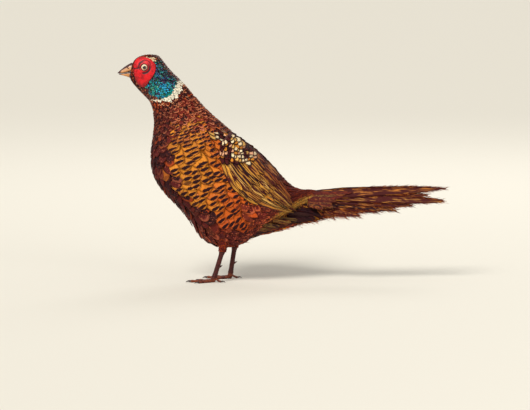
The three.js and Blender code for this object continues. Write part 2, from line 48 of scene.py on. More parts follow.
# The body from the bill's base to the tail's root. Each row is a ring across it:
# front x, front z, back x, back z, half width. The last three rows are over the tail's root.
BODY = np.array([
    [-169, 405, -164, 437, 8.5],
    [-162, 395, -154, 447, 15],
    [-155, 387, -139, 452.4, 19.5],
    [-148, 379.4, -122, 451.8, 22],
    [-141.4, 372.8, -106, 441.6, 23.5],
    [-135.6, 367.2, -87.2, 420.8, 25],
    [-130.6, 361.4, -72.4, 406, 26.5],
    [-126.4, 353, -56, 389, 29],
    [-122.4, 338, -38, 367, 33],
    [-120.4, 318, -17, 344, 40],
    [-122.4, 294, 8, 321.4, 49],
    [-126.8, 262, 40, 294, 60],
    [-126.4, 230, 70, 270, 68],
    [-117, 200, 94, 248.6, 73],
    [-94, 170, 114, 230, 75],
    [-67, 142, 130, 213, 75],
    [-45, 112, 142, 200, 72],
    [-23, 83, 150, 193, 66],
    [14, 67, 156, 188, 60],
    [50, 73, 164, 185, 50],
    [78, 90, 171, 182.5, 41],
    [110, 104, 178, 182, 32],
    [138, 120, 183, 182, 25],
    [162, 132, 187, 182, 19],
    [186, 139, 196, 181, 16],
    [203, 149, 209, 178, 11],
    [218, 158, 222, 172, 5],
])
NECK_BASE = 10
TAIL_HEAD = 23
BODY_END = len(BODY) - 1

EYE = {"x": -139.3, "z": 428.4, "radius": 7.3, "middle": 15.2}
LEG_SPREAD = 29
LEGS = [
    {"name": "left", "side": LEFT, "ankle": (15, 63), "foot_x": -2},
    {"name": "right", "side": RIGHT, "ankle": (39, 66), "foot_x": 30},
]
SHANK_RADIUS = 4.4
TOES = [("inner", 33, -27, 3.5), ("middle", 46, 3, 3.8), ("outer", 35, 33, 3.4), ("hind", 15, 162, 2.8)]
CLAW_LENGTH = 10

# Plumage colours, linear
CREAM = (0.88, 0.68, 0.40)
WHITE = (0.90, 0.82, 0.64)
GOLD = (0.66, 0.235, 0.022)
FLAME = (0.60, 0.085, 0.010)
RUST = (0.22, 0.030, 0.008)
MAROON = (0.060, 0.0065, 0.006)
DEEP = (0.022, 0.0035, 0.006)
NIGHT = (0.008, 0.008, 0.030)
TEAL = (0.0, 0.26, 0.25)
BLUE = (0.002, 0.27, 0.50)
BOTTLE = (0.006, 0.075, 0.030)
PLUM = (0.05, 0.006, 0.06)
TAN = (0.60, 0.27, 0.035)
OLIVE = (0.28, 0.145, 0.03)
STRAW = (0.68, 0.37, 0.09)
ROSE = (0.80, 0.40, 0.22)
GRASS = (0.14, 0.50, 0.26)
INK = (0.01, 0.05, 0.16)
GLEAM = (0.05, 0.38, 0.32)
WINE = {"neck": (0.16, 0.014, 0.009), "breast": (0.075, 0.008, 0.008), "flank": (0.12, 0.011, 0.010),
        "belly": (0.080, 0.008, 0.008), "thigh": (0.11, 0.010, 0.008)}
FLECKS = {"collar": (0.7, 0.30, 0.15), "neck": (0.80, 0.27, 0.12), "breast": (0.55, 0.14, 0.07),
          "flank": (0.72, 0.15, 0.05), "belly": (0.60, 0.13, 0.06)}
BROWN = {"wing": (0.50, 0.20, 0.03), "tail": (0.50, 0.17, 0.030), "tail_pale": (0.60, 0.26, 0.05),
         "tail_rim": (0.46, 0.15, 0.02), "tail_cover": (0.42, 0.13, 0.02), "tail_barb": (0.42, 0.12, 0.02)}
RED_SKIN = (0.68, 0.005, 0.012)
# The darker red that is painted in as shade in the face's creases and along its lower front edge
FOLD_SHADE_RED = (0.045, 0.001, 0.006)

rng = np.random.default_rng(11)


def mix(a, b, t):
    return a + (b - a) * t


def smooth(value, low=0.0, high=1.0):
    t = np.clip((value - low) / (high - low), 0, 1)
    return t * t * (3 - 2 * t)


def bulge(v):
    return np.sign(v) * np.abs(v) ** (2 / SQUARENESS)


def hump(value, middle, width):
    """A soft swelling of height 1 about a middle value."""
    return np.exp(-(((value - middle) / width) ** 2))


def unit(v):
    return v / np.maximum(np.linalg.norm(v, axis=-1, keepdims=True), 1e-9)


def spline(table, places):
    places = np.clip(places, 0, len(table) - 1)
    i = np.minimum(places.astype(int), len(table) - 2)
    t = (places - i)[..., None]
    a, b = table[np.maximum(i - 1, 0)], table[i]
    c, d = table[i + 1], table[np.minimum(i + 2, len(table) - 1)]
    return 0.5 * (2 * b + (c - a) * t + (2 * a - 5 * b + 4 * c - d) * t**2 + (3 * b - a - 3 * c + d) * t**3)


def ring_at(place):
    row = spline(BODY, place)
    front, back = row[..., 0:2], row[..., 2:4]
    up = back - front
    depth = np.linalg.norm(up, axis=-1) / 2
    return (front + back) / 2, up / (2 * depth[..., None]), depth, row[..., 4]


def on_body(place, angle, lift=0.0):
    """Points of the body. The angle runs from the back, 0, round the right side."""
    place, angle, lift = np.broadcast_arrays(np.asarray(place, float), angle, lift)
    middle, up, depth, half = ring_at(place)
    high = (depth + lift) * bulge(np.cos(angle))
    wide = (half + lift) * bulge(np.sin(angle))
    return np.stack([middle[..., 0] + up[..., 0] * high, wide, middle[..., 1] + up[..., 1] * high], -1)


def through_body(x, z, first=0, last=BODY_END):
    """The place of the ring through a side-view point, and how high on the ring it lies."""
    low, high = np.full(np.shape(x), float(first)), np.full(np.shape(x), float(last))
    for _ in range(22):
        half = (low + high) / 2
        middle, up, _, _ = ring_at(half)
        ahead = (x - middle[..., 0]) * up[..., 1] - (z - middle[..., 1]) * up[..., 0] > 0
        low, high = np.where(ahead, half, low), np.where(ahead, high, half)
    middle, up, depth, half = ring_at(low)
    height = ((x - middle[..., 0]) * up[..., 0] + (z - middle[..., 1]) * up[..., 1]) / depth
    return low, height, half


def side_of_body(x, z, first=0, last=TAIL_HEAD, edge=0.93):
    _, height, half = through_body(x, z, first, last)
    h = np.abs(height)

    def out(v):
        return half * (1 - np.minimum(v, 1) ** SQUARENESS) ** (1 / SQUARENESS)

    slope = (out(edge) - out(edge - 0.02)) / 0.02
    return np.where(h <= edge, out(h), out(edge) + slope * (h - edge))


def on_bed(bed, x, z, lift):
    """Points over a side-view bed, raised along its outward direction."""
    y = bed(x, z)
    dx = bed(x + 0.5, z) - bed(x - 0.5, z)
    dz = bed(x, z + 0.5) - bed(x, z - 0.5)
    out = unit(np.stack([-dx, np.ones_like(dx), -dz], -1))
    return np.stack([x, y, z], -1) + out * np.asarray(lift)[..., None]


# Meshes
def new_piece(name, data):
    piece = bpy.data.objects.new(name, data)
    bpy.context.collection.objects.link(piece)
    return piece


def in_metres(points):
    return (np.asarray(points, float) - (MIDDLE, 0, 0)) / 1000


def plain_mesh(name, points, faces):
    """A smooth mesh from millimetre points and faces of any size."""
    mesh = bpy.data.meshes.new(name)
    mesh.from_pydata(in_metres(points).tolist(), [], [list(map(int, f)) for f in faces])
    mesh.polygons.foreach_set("use_smooth", np.ones(len(mesh.polygons), bool))
    mesh.update()
    return new_piece(name, mesh)


def quad_mesh(name, points, quads):
    mesh = bpy.data.meshes.new(name)
    mesh.vertices.add(len(points))
    mesh.vertices.foreach_set("co", in_metres(points).ravel())
    mesh.loops.add(quads.size)
    mesh.loops.foreach_set("vertex_index", quads.ravel().astype(np.int32))
    mesh.polygons.add(len(quads))
    mesh.polygons.foreach_set("loop_start", np.arange(0, quads.size, 4, dtype=np.int32))
    mesh.polygons.foreach_set("use_smooth", np.ones(len(quads), bool))
    mesh.update(calc_edges=True)
    mesh.validate()
    return new_piece(name, mesh)


def set_colour(piece, name, colours):
    """A colour for every point, kept in the mesh for its material to read."""
    values = np.ones((len(piece.data.vertices), 4))
    values[:, :3] = np.clip(colours, 0, 1)
    layer = piece.data.attributes.new(name, "FLOAT_COLOR", "POINT")
    layer.data.foreach_set("color", values.ravel())


def set_uv(piece, name, uv):
    layer = piece.data.uv_layers.new(name=name)
    corners = np.empty(len(piece.data.loops), np.int32)
    piece.data.loops.foreach_get("vertex_index", corners)
    layer.data.foreach_set("uv", np.asarray(uv, float)[corners].ravel())


def loft(rings, ends="capped"):
    """Points and faces of a tube through rings that have their points in the same order.

    Its ends are capped, left open, or joined to each other.
    """
    rings = np.asarray(rings, float)
    count, around = rings.shape[:2]
    i, j = np.meshgrid(np.arange(count - 1), np.arange(around), indexing="ij")
    k = (j + 1) % around
    quads = np.stack([i * around + j, i * around + k, (i + 1) * around + k, (i + 1) * around + j], -1)
    points = rings.reshape(-1, 3)
    faces = quads.reshape(-1, 4).tolist()
    last = (count - 1) * around
    if ends == "capped":
        points = np.vstack([points, rings[0].mean(0), rings[-1].mean(0)])
        for j in range(around):
            k = (j + 1) % around
            faces.append([len(points) - 2, k, j])
            faces.append([len(points) - 1, last + j, last + k])
    elif ends == "joined":
        faces += [[last + j, last + (j + 1) % around, (j + 1) % around, j] for j in range(around)]
    return points, faces


def with_caps(values):
    """One value for each point of a capped loft, whose two middle points take their ring's first value."""
    return np.vstack([values, values[:1], values[-1:]])


def face_out(piece):
    """Turns a closed mesh's faces outwards."""
    mesh = piece.data
    mesh.calc_loop_triangles()
    corners = np.empty(len(mesh.loop_triangles) * 3, np.int32)
    mesh.loop_triangles.foreach_get("vertices", corners)
    co = np.empty(len(mesh.vertices) * 3)
    mesh.vertices.foreach_get("co", co)
    a, b, c = co.reshape(-1, 3)[corners.reshape(-1, 3)].transpose(1, 0, 2)
    if np.einsum("ij,ij->i", a, np.cross(b, c)).sum() < 0:
        mesh.flip_normals()
    return piece


def closed_piece(name, points, faces, material):
    """A closed mesh of one material, with its faces outwards."""
    piece = face_out(plain_mesh(name, points, faces))
    piece.data.materials.append(material)
    return piece


def wear(slot, *pieces):
    """Puts finished pieces on the body. The slot is not used."""
    for piece in pieces:
        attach(piece, "root")


# Materials
def new_material(name, roughness=0.6, **sockets):
    material = bpy.data.materials.new(name)
    material.use_nodes = True
    nodes, links = material.node_tree.nodes, material.node_tree.links
    shader = nodes["Principled BSDF"]
    shader.inputs["Roughness"].default_value = roughness
    for socket, value in sockets.items():
        shader.inputs[socket.replace("_", " ")].default_value = value
    return material, nodes, links, shader


class Maths:
    """Chains of Math nodes written as sums."""

    def __init__(self, nodes, links):
        self.nodes, self.links = nodes, links

    def __call__(self, operation, *values):
        node = self.nodes.new("ShaderNodeMath")
        node.operation = operation
        for socket, value in zip(node.inputs, values):
            if isinstance(value, (int, float)):
                socket.default_value = value
            else:
                self.links.new(value, socket)
        return node.outputs[0]

    def between(self, value, low, high, rising=True):
        node = self.nodes.new("ShaderNodeMapRange")
        node.interpolation_type = "SMOOTHSTEP"
        self.links.new(value, node.inputs["Value"])
        node.inputs["From Min"].default_value = low
        node.inputs["From Max"].default_value = high
        node.inputs["To Min"].default_value = 0.0 if rising else 1.0
        node.inputs["To Max"].default_value = 1.0 if rising else 0.0
        return node.outputs["Result"]

    def blend(self, amount, first, second):
        node = self.nodes.new("ShaderNodeMix")
        node.data_type = "RGBA"
        for socket, value in zip((node.inputs[0], node.inputs[6], node.inputs[7]), (amount, first, second)):
            if isinstance(value, (int, float)):
                socket.default_value = value
            elif isinstance(value, tuple):
                socket.default_value = (*value, 1)
            else:
                self.links.new(value, socket)
        return node.outputs[2]


def attribute(nodes, name, output="Color"):
    node = nodes.new("ShaderNodeAttribute")
    node.attribute_name = name
    return node.outputs[output]


def noise(nodes, links, scale, detail=3.0, vector=None, output="Fac"):
    node = nodes.new("ShaderNodeTexNoise")
    node.inputs["Scale"].default_value = scale
    node.inputs["Detail"].default_value = detail
    if vector is None:
        vector = nodes.new("ShaderNodeTexCoord").outputs["Object"]
    links.new(vector, node.inputs["Vector"])
    return node.outputs[output]


def bump(nodes, links, shader, height, strength, distance):
    node = nodes.new("ShaderNodeBump")
    node.inputs["Strength"].default_value = strength
    node.inputs["Distance"].default_value = distance
    links.new(height, node.inputs["Height"])
    links.new(node.outputs["Normal"], shader.inputs["Normal"])


def shaded(nodes, links, shader, colour, amount):
    """The base colour is a colour made lighter or darker by an amount."""
    tone = nodes.new("ShaderNodeVectorMath")
    tone.operation = "SCALE"
    links.new(colour, tone.inputs[0])
    links.new(amount, tone.inputs["Scale"])
    links.new(tone.outputs[0], shader.inputs["Base Color"])


def painted_material(name, painting, roughness, **sockets):
    """A plain finish in the colours that are kept in the mesh."""
    material, nodes, links, shader = new_material(name, roughness, **sockets)
    links.new(attribute(nodes, painting), shader.inputs["Base Color"])
    return material


def feather_material(name, roughness=0.62, barbs=26.0, long_marks=None, **sockets):
    """Vanes: a ground colour, with a dark spot near the tip or long marks beside the shaft, and a rim."""
    material, nodes, links, shader = new_material(name, roughness, **sockets)
    maths = Maths(nodes, links)
    uv = nodes.new("ShaderNodeUVMap")
    uv.uv_map = "Vane"
    parts = nodes.new("ShaderNodeSeparateXYZ")
    links.new(uv.outputs["UV"], parts.inputs[0])
    across = maths("MULTIPLY", maths("SUBTRACT", parts.outputs[0], 0.5), 2.0)
    along = parts.outputs[1]
    off = maths("ABSOLUTE", across)
    rough = maths("MULTIPLY", maths("SUBTRACT", noise(nodes, links, 420.0, 2.0), 0.5), 0.6)
    amounts = nodes.new("ShaderNodeSeparateColor")
    links.new(attribute(nodes, "Amounts"), amounts.inputs[0])
    colour = attribute(nodes, "Ground")
    mark = attribute(nodes, "Mark")

    outer = maths("DIVIDE", maths("MAXIMUM", maths("SUBTRACT", along, 0.5), 0.0), 0.5)
    if long_marks:
        reach = off
        # Uneven marks that run the length of the vane, set out anew in every vane
        start = maths("MULTIPLY", amounts.outputs[0], 60.0)
        place = nodes.new("ShaderNodeCombineXYZ")
        links.new(maths("MULTIPLY_ADD", across, long_marks[0], start), place.inputs[0])
        links.new(maths("MULTIPLY", along, long_marks[1]), place.inputs[1])
        links.new(start, place.inputs[2])
        fibres = noise(nodes, links, 1.3, 3.0, place.outputs[0])
        limit = maths("SUBTRACT", long_marks[2], maths("MULTIPLY", amounts.outputs[1], 0.20))
        streak = maths("MULTIPLY", maths("SUBTRACT", fibres, limit), 22.0)
        streak = maths("MINIMUM", maths("MAXIMUM", streak, 0.0), 1.0)
    else:
        reach = maths("SQRT", maths("ADD", maths("MULTIPLY", outer, outer), maths("MULTIPLY", off, off)))
    rim = maths.between(maths("ADD", reach, maths("MULTIPLY", rough, 0.5)), 0.62, 0.84)
    colour = maths.blend(maths("MULTIPLY", rim, amounts.outputs[2]), colour, attribute(nodes, "Rim"))
    if long_marks:
        colour = maths.blend(streak, colour, mark)
    else:
        # Fine flecks, and a slanting spot near the tip
        fleck = maths.between(noise(nodes, links, 330.0, 2.0), 0.585, 0.655)
        colour = maths.blend(maths("MULTIPLY", fleck, 0.75), colour, attribute(nodes, "Rim"))
        slant = maths("MULTIPLY", maths("SUBTRACT", amounts.outputs[1], 0.5), across)
        high = maths("DIVIDE", maths("SUBTRACT", maths("ADD", along, slant), 0.84), 0.118)
        wide = maths("DIVIDE", across, 1.06)
        far = maths("SQRT", maths("ADD", maths("MULTIPLY", high, high), maths("MULTIPLY", wide, wide)))
        spot = maths.between(maths("ADD", far, rough), 0.66, 0.96, rising=False)
        colour = maths.blend(maths("MULTIPLY", spot, amounts.outputs[0]), colour, mark)

    # Barbs run out from the shaft towards the tip
    line = maths("SUBTRACT", maths("MULTIPLY", along, barbs * 2.2), maths("MULTIPLY", off, barbs * 0.7))
    barb = maths("SINE", maths("MULTIPLY", line, 6.283))
    shade = maths("MULTIPLY_ADD", barb, 0.07, 0.93)
    shade = maths("MULTIPLY", shade, maths("MULTIPLY_ADD", noise(nodes, links, 900.0, 2.0), 0.7, 0.66))
    shaded(nodes, links, shader, colour, shade)
    bump(nodes, links, shader, barb, 0.25, 0.0003)
    return material


# Feathers
# The outline of a vane: places along it, and how broad it is there
SHORT_VANE = np.array([[0.0, 0.35], [0.22, 0.78], [0.45, 1.0], [0.68, 1.0], [0.85, 0.80], [0.95, 0.48],
                       [1.0, 0.12]])
LONG_VANE = np.array([[0.0, 0.5], [0.12, 0.85], [0.3, 1.0], [0.5, 1.0], [0.68, 0.98], [0.82, 0.88],
                      [0.91, 0.66], [0.965, 0.40], [1.0, 0.08]])
TAIL_VANE = np.array([[0.0, 0.5], [0.1, 0.8], [0.25, 1.0], [0.4, 1.0], [0.55, 0.94], [0.7, 0.80], [0.8, 0.62],
                      [0.88, 0.44], [0.94, 0.26], [1.0, 0.05]])
# A vane's section: five points over it and one below its shaft
ACROSS = (-1.0, -0.5, 0.0, 0.5, 1.0)
SECTION = len(ACROSS) + 1


def feather_piece(name, point_at, paint, bake, material, thick, camber, shape=SHORT_VANE, ragged=0.05):
    """Closed thin vanes, one for each root. point_at(along, side, lift) gives a point of each of them."""
    count, rings = len(bake), len(shape)
    rows = []
    for t, breadth in shape:
        fray = 1 + ragged * rng.standard_normal(count) * (t > 0.2)
        top = [point_at(t, side * breadth * (fray if side else 1), camber * (1 - side * side))
               for side in ACROSS]
        rows.append(np.stack([*top, point_at(t, 0 * fray, camber - thick)], 1))
    quads = []
    for i in range(rings - 1):
        for j in range(SECTION):
            k = (j + 1) % SECTION
            quads.append([i * SECTION + j, i * SECTION + k, (i + 1) * SECTION + k, (i + 1) * SECTION + j])
    end = (rings - 1) * SECTION
    quads += [[5, 2, 1, 0], [5, 4, 3, 2]]
    quads += [[end, end + 1, end + 2, end + 5], [end + 2, end + 3, end + 4, end + 5]]
    size = rings * SECTION
    quads = (np.arange(count)[:, None, None] * size + np.array(quads)[None]).reshape(-1, 4)
    piece = face_out(quad_mesh(name, np.stack(rows, 1).reshape(-1, 3), quads))
    vane = np.array([[side * 0.5 + 0.5, t] for t in shape[:, 0] for side in (*ACROSS, 0.0)])
    set_uv(piece, "Vane", np.tile(vane, (count, 1)))
    set_uv(piece, "OFBake", np.repeat(bake, size, 0) + np.tile((vane - 0.5) * 0.003, (count, 1)))
    for key, colours in paint.items():
        set_colour(piece, key, np.repeat(np.clip(colours, 0, 1), size, 0))
    piece.data.materials.append(material)
    return piece


def vane_paint(ground, mark, rim, spot, streak, rims):
    """What feather_material reads: three colours, and how strong spot, streak or slant, and rim are."""
    amounts = np.stack(np.broadcast_arrays(spot, streak, rims), 1)
    layers = {"Ground": ground, "Mark": mark, "Rim": rim, "Amounts": amounts}
    return {key: np.broadcast_to(values, (len(ground), 3)) for key, values in layers.items()}


def body_patch(place, angle):
    """Where a point of the body lies on the unwrapped body, for the baked colours."""
    return np.stack([angle / (2 * np.pi) % 1, place / BODY_END], -1) * 0.98 + 0.01


def choose(count, *options):
    """A colour for each feather, drawn from (weight, colour) pairs, with a little change in each."""
    weights = np.array([w for w, _ in options], float)
    colours = np.array([c for _, c in options])
    picked = colours[rng.choice(len(options), count, p=weights / weights.sum())]
    return picked * rng.uniform(0.8, 1.25, (count, 1))


# The golden flank's rear edge: a point on it in side view, and its slant
FLANK_X, FLANK_Z, FLANK_SLANT = 41, 158, 0.5


def behind_flank(x, z):
    """How far a side-view point lies behind the golden flank's slanting rear edge."""
    return x - FLANK_X - FLANK_SLANT * (FLANK_Z - z)


def closeness(place, edge, height):
    """How many times closer than on the breast the feathers of a row stand, round the row."""
    x, z = edge[:, 0], edge[:, 2]
    keel, ridge = smooth(-height, 0.70, 0.95), smooth(height, 0.60, 0.9)
    belly = (1 - smooth(z, 98, 128)) * smooth(place, 12, 14)
    behind = smooth(behind_flank(x, z), -4, 10) * smooth(place, 13, 14) * (place < 19)
    mantle = smooth(height, 0.05, 0.4) * smooth(z, *MANTLE_FOOT) * smooth(place, 9.5, 10.5)
    return 1 + smooth(place, 9.5, 11.5) * (0.9 * keel + 0.7 * ridge) + 0.8 * (belly + behind) + 0.6 * mantle


def rows_round_body(first, last):
    """Roots in staggered rows round the body, with their row spacing and their spacing in the row."""
    fine = np.linspace(first, last, 1500)
    step = np.linalg.norm(np.diff(on_body(fine, np.pi / 2), axis=0), axis=1)
    rows = np.concatenate([[0], np.cumsum(step / np.interp(fine[1:], *ROW_SPACING))])
    places, angles, alongs, acrosses = [], [], [], []
    for n in range(1, int(rows[-1])):
        place = np.interp(n, rows, fine)
        turn = np.linspace(0, 2 * np.pi, 241)
        edge = on_body(place, turn)
        finer = closeness(place, edge, bulge(np.cos(turn)))
        arc = np.concatenate([[0], np.cumsum(np.linalg.norm(np.diff(edge, axis=0), axis=1) * finer[1:])])
        number = max(6, int(arc[-1] / np.interp(place, *FEATHER_SPACING)))
        at = (np.arange(number) + 0.5 * (n % 2) + rng.normal(0, 0.10, number)) / number % 1
        angles.append(np.interp(at * arc[-1], arc, turn))
        along = np.interp(place, *ROW_SPACING)
        slope = (np.interp(n + 0.5, rows, fine) - np.interp(n - 0.5, rows, fine)) / along
        places.append(place + rng.normal(0, 0.12, number) * along * slope)
        alongs.append(np.full(number, along))
        acrosses.append(arc[-1] / number / np.interp(at * arc[-1], arc, finer))
    return tuple(map(np.concatenate, (places, angles, alongs, acrosses)))


def body_feathers(name, roots, paint, material, depth, overlap, proud):
    """Feathers with their roots sunk below the skin, and their tips a little proud of it."""
    place, angle, along, across = roots
    count = len(place)
    speed = np.linalg.norm(on_body(place + 0.05, angle) - on_body(place - 0.05, angle), axis=1) / 0.1
    turn = np.linalg.norm(on_body(place, angle + 0.02) - on_body(place, angle - 0.02), axis=1) / 0.04
    turn = np.maximum(turn, 6.0)
    length = along * overlap * rng.uniform(0.92, 1.1, count)
    reach = length / np.maximum(speed, 4.0)
    half = across * 0.68 / turn
    sway = rng.normal(0, 0.05, count)
    rise = proud + rng.normal(0, 0.12, count) * depth * 0.3
    roll = rng.normal(0, 0.1, count)

    def point_at(t, side, lift):
        # The feather sets out half its hidden length before its row
        here = place + reach * (t - 0.35)
        height = mix(-depth, rise, np.clip(t * 1.1, 0, 1)) + roll * side + lift * depth / 5
        tuft = EAR_TUFT["lift"] * hump(here, EAR_TUFT["place"], EAR_TUFT["length"])
        tuft = tuft * smooth(bulge(np.cos(angle)), 0.6, 0.95) * np.clip(t * 1.5, 0, 1)
        return on_body(here, angle + side * half + sway * t, height + tuft)

    return feather_piece(name, point_at, paint(place, angle), body_patch(place, angle), material, 0.35, 0.7)


def lay(base, amount, colour):
    amount = np.clip(amount, 0, 1)[:, None]
    return base * (1 - amount) + np.asarray(colour) * amount


# How far the red skin reaches from the eye: directions in degrees, 0 towards the tail, and millimetres
FACE_EDGE = [(0, 22.6), (15, 23.2), (36, 20.2), (76, 19.4), (102, 21), (130, 22.6), (158, 22.3), (182, 22.4),
             (205, 23.6), (225, 27.5), (248, 36), (260, 40.5), (272, 40.8), (284, 30.5), (296, 26.5),
             (317, 23.6), (346, 22.5)]


def facial_reach(turn):
    turns, reaches = np.radians([d for d, _ in FACE_EDGE]), [r for _, r in FACE_EDGE]
    near = [np.interp(turn + step, turns, reaches, period=2 * np.pi) for step in (-0.12, 0, 0.12)]
    return sum(near) / 3


def inside_face(points, share=1.0):
    dx, dz = points[:, 0] - EYE["x"], points[:, 2] - EYE["z"]
    return np.hypot(dx, dz) < share * facial_reach(np.arctan2(dz, dx))


class BodyMarkings:
    """The body's plumage from the collar to the tail: each marking is laid over those before it."""

    def __init__(self, place, angle):
        self.count, self.place = len(place), place
        at = on_body(place, angle)
        self.x, self.z = at[:, 0], at[:, 2]
        _, _, depth, _ = ring_at(place)
        self.height = bulge(np.cos(angle))
        self.from_front, self.from_back = (self.height + 1) * depth, (1 - self.height) * depth
        self.jitter = rng.normal(0, 1, self.count)
        # The spots slope up towards the tail on both sides
        self.slant = np.where(angle > np.pi, 0.56, 0.44)

    def breast(self):
        """A dark wine breast, and the golden flank with its black spots."""
        x, z, jitter, n = self.x, self.z, self.jitter, self.count
        golden = smooth(self.from_front, 17, 62) * (1 - smooth(z, 300, 348)) * smooth(z, 96, 134)
        golden = smooth(golden + 0.45 * rng.uniform(-1, 1, n), 0.42, 0.58)
        ground = choose(n, (3, WINE["breast"]), (3, DEEP), (0.3, RUST))
        redder = np.clip(smooth(x + 10 * jitter, -45, 25) * 0.8, 0, 1)
        warm = mix(np.array(GOLD), np.array(FLAME), redder[:, None])
        warm = lay(warm, smooth(170 - z + 10 * jitter, 0, 70) * 0.7, FLAME)
        warm = warm * rng.uniform(0.82, 1.12, (n, 1))
        self.flank = smooth(behind_flank(x + 5 * jitter, z), 0, 14) * (1 - smooth(z, 162, 176))
        golden = golden * (1 - self.flank)
        self.golden, self.spot = golden, golden
        self.ground = lay(ground, golden, warm)
        self.rim = choose(n, (2, FLECKS["breast"]), (1, FLAME), (1.5, RUST))
        self.flecked = rng.uniform(0, 1, n)
        self.rims = (1 - golden) * np.where(self.flecked < 0.26, 0.7, 0.06) + golden * rng.uniform(0, 0.2, n)

    def neck(self):
        """Fine pale flecks below the collar, more of them towards the back."""
        neck = 1 - smooth(self.place, 9.6, 11.4)
        flecks = self.flecked < mix(0.08, 0.46, smooth(self.from_front, 16, 56))
        self.rims = np.maximum(self.rims, neck * flecks * 0.85)
        wine = neck * (self.flecked > 0.55) * smooth(self.from_front, 14, 50)
        self.ground = lay(self.ground, wine, WINE["neck"])
        self.rim = lay(self.rim, neck * 0.6, FLECKS["neck"])
        self.rim = lay(self.rim, (1 - self.golden) * (1 - smooth(self.from_front, 12, 56)) * 0.65, MAROON)

    def fleck(self, here, often, plain, colours, rim):
        """Dark red feathers, some of them with rosy flecks."""
        self.ground = lay(self.ground, here, choose(self.count, *colours))
        self.rim = lay(self.rim, here, rim)
        self.rims = np.where(here > 0.5, np.where(self.flecked < often, 0.7, plain), self.rims)

    def mantle(self):
        """Dark feathers with cream hearts."""
        n = self.count
        mantle = 1 - smooth(self.from_back + 4 * self.jitter, 32, 48)
        mantle = mantle * smooth(self.z, *MANTLE_FOOT) * (1 - smooth(self.z, 300, 314))
        mantle = smooth(mantle + 0.3 * rng.uniform(-1, 1, n), 0.44, 0.56)
        top = 1 - smooth(self.from_back + 2 * self.jitter, 3, 8)
        hearts = mantle * (rng.uniform(0, 1, n) < 0.74) * (1 - 0.8 * top)
        self.ground = lay(self.ground, mantle, MAROON)
        heart = choose(n, (3, CREAM), (2, STRAW), (1, GOLD), (2, ROSE))
        self.ground = lay(self.ground, hearts, heart)
        self.rim = lay(self.rim, mantle, DEEP)
        self.rims = np.maximum(self.rims * (1 - mantle), mantle * 0.95)
        self.spot = self.spot * (1 - mantle)

    def rump(self):
        """Back and rump: dark, with rusty edges."""
        rump = smooth(self.height, 0.3, 0.6) * smooth(self.place, 14.2, 15.4)
        self.ground = lay(self.ground, rump, MAROON)
        self.rim = lay(self.rim, rump, RUST)
        self.rims = np.maximum(self.rims * (1 - rump), rump * rng.uniform(0.0, 0.7, self.count))
        self.spot = self.spot * (1 - rump)
        self.rear = smooth(self.place, 18.6, 19.8) * (1 - rump)

    def behind_legs(self):
        """An olive band below the wing, dark below it, and flame along the lower edge."""
        band = smooth(self.height, -0.35, -0.05) * (1 - smooth(self.place, 21.6, 22.6))
        low = 1 - smooth(self.height, -0.97, -0.80)
        tone = choose(self.count, (1, MAROON), (2, DEEP))
        tone = lay(tone, band, OLIVE)
        tone = lay(tone, low, FLAME)
        self.ground = lay(self.ground, self.rear, tone)
        self.spot = self.spot * (1 - self.rear)
        self.rim = lay(self.rim, self.rear, GOLD)
        edges = rng.uniform(0.0, 0.6, self.count) * mix(0.2, 1.0, np.maximum(band, low))
        self.rims = np.where(self.rear > 0.5, edges, self.rims)

    def olive_patch(self):
        """Where the wing's tip meets the tail."""
        patch = smooth(self.x + 2 * self.jitter, 160, 170) * (1 - smooth(self.x, 194, 204))
        patch = patch * smooth(self.height, -0.1, 0.1)
        patch = patch * (1 - smooth(self.height + 0.05 * self.jitter, 0.5, 0.7))
        self.ground = lay(self.ground, patch * 0.85, OLIVE)

    def belly(self):
        belly = (1 - smooth(self.z + 5 * self.jitter, 96, 132)) * (1 - self.rear)
        self.fleck(belly, 0.3, 0.05, [(3, WINE["belly"]), (2, MAROON), (0.3, RUST)], FLECKS["belly"])

    def back_line(self):
        """A dark line along the back."""
        self.ground = lay(self.ground, (1 - smooth(self.from_back, 5, 16)) * 0.85, MAROON)


def paint_body(place, angle):
    """The markings of the body's plumage, from the collar to the tail."""
    coat = BodyMarkings(place, angle)
    coat.breast()
    coat.neck()
    coat.fleck(coat.flank, 0.34, 0.08, [(3, WINE["flank"]), (3, MAROON), (0.35, FLAME)], FLECKS["flank"])
    coat.mantle()
    coat.rump()
    coat.behind_legs()
    coat.olive_patch()
    coat.belly()
    coat.back_line()
    return vane_paint(coat.ground, DEEP, coat.rim, coat.spot, coat.slant, coat.rims)


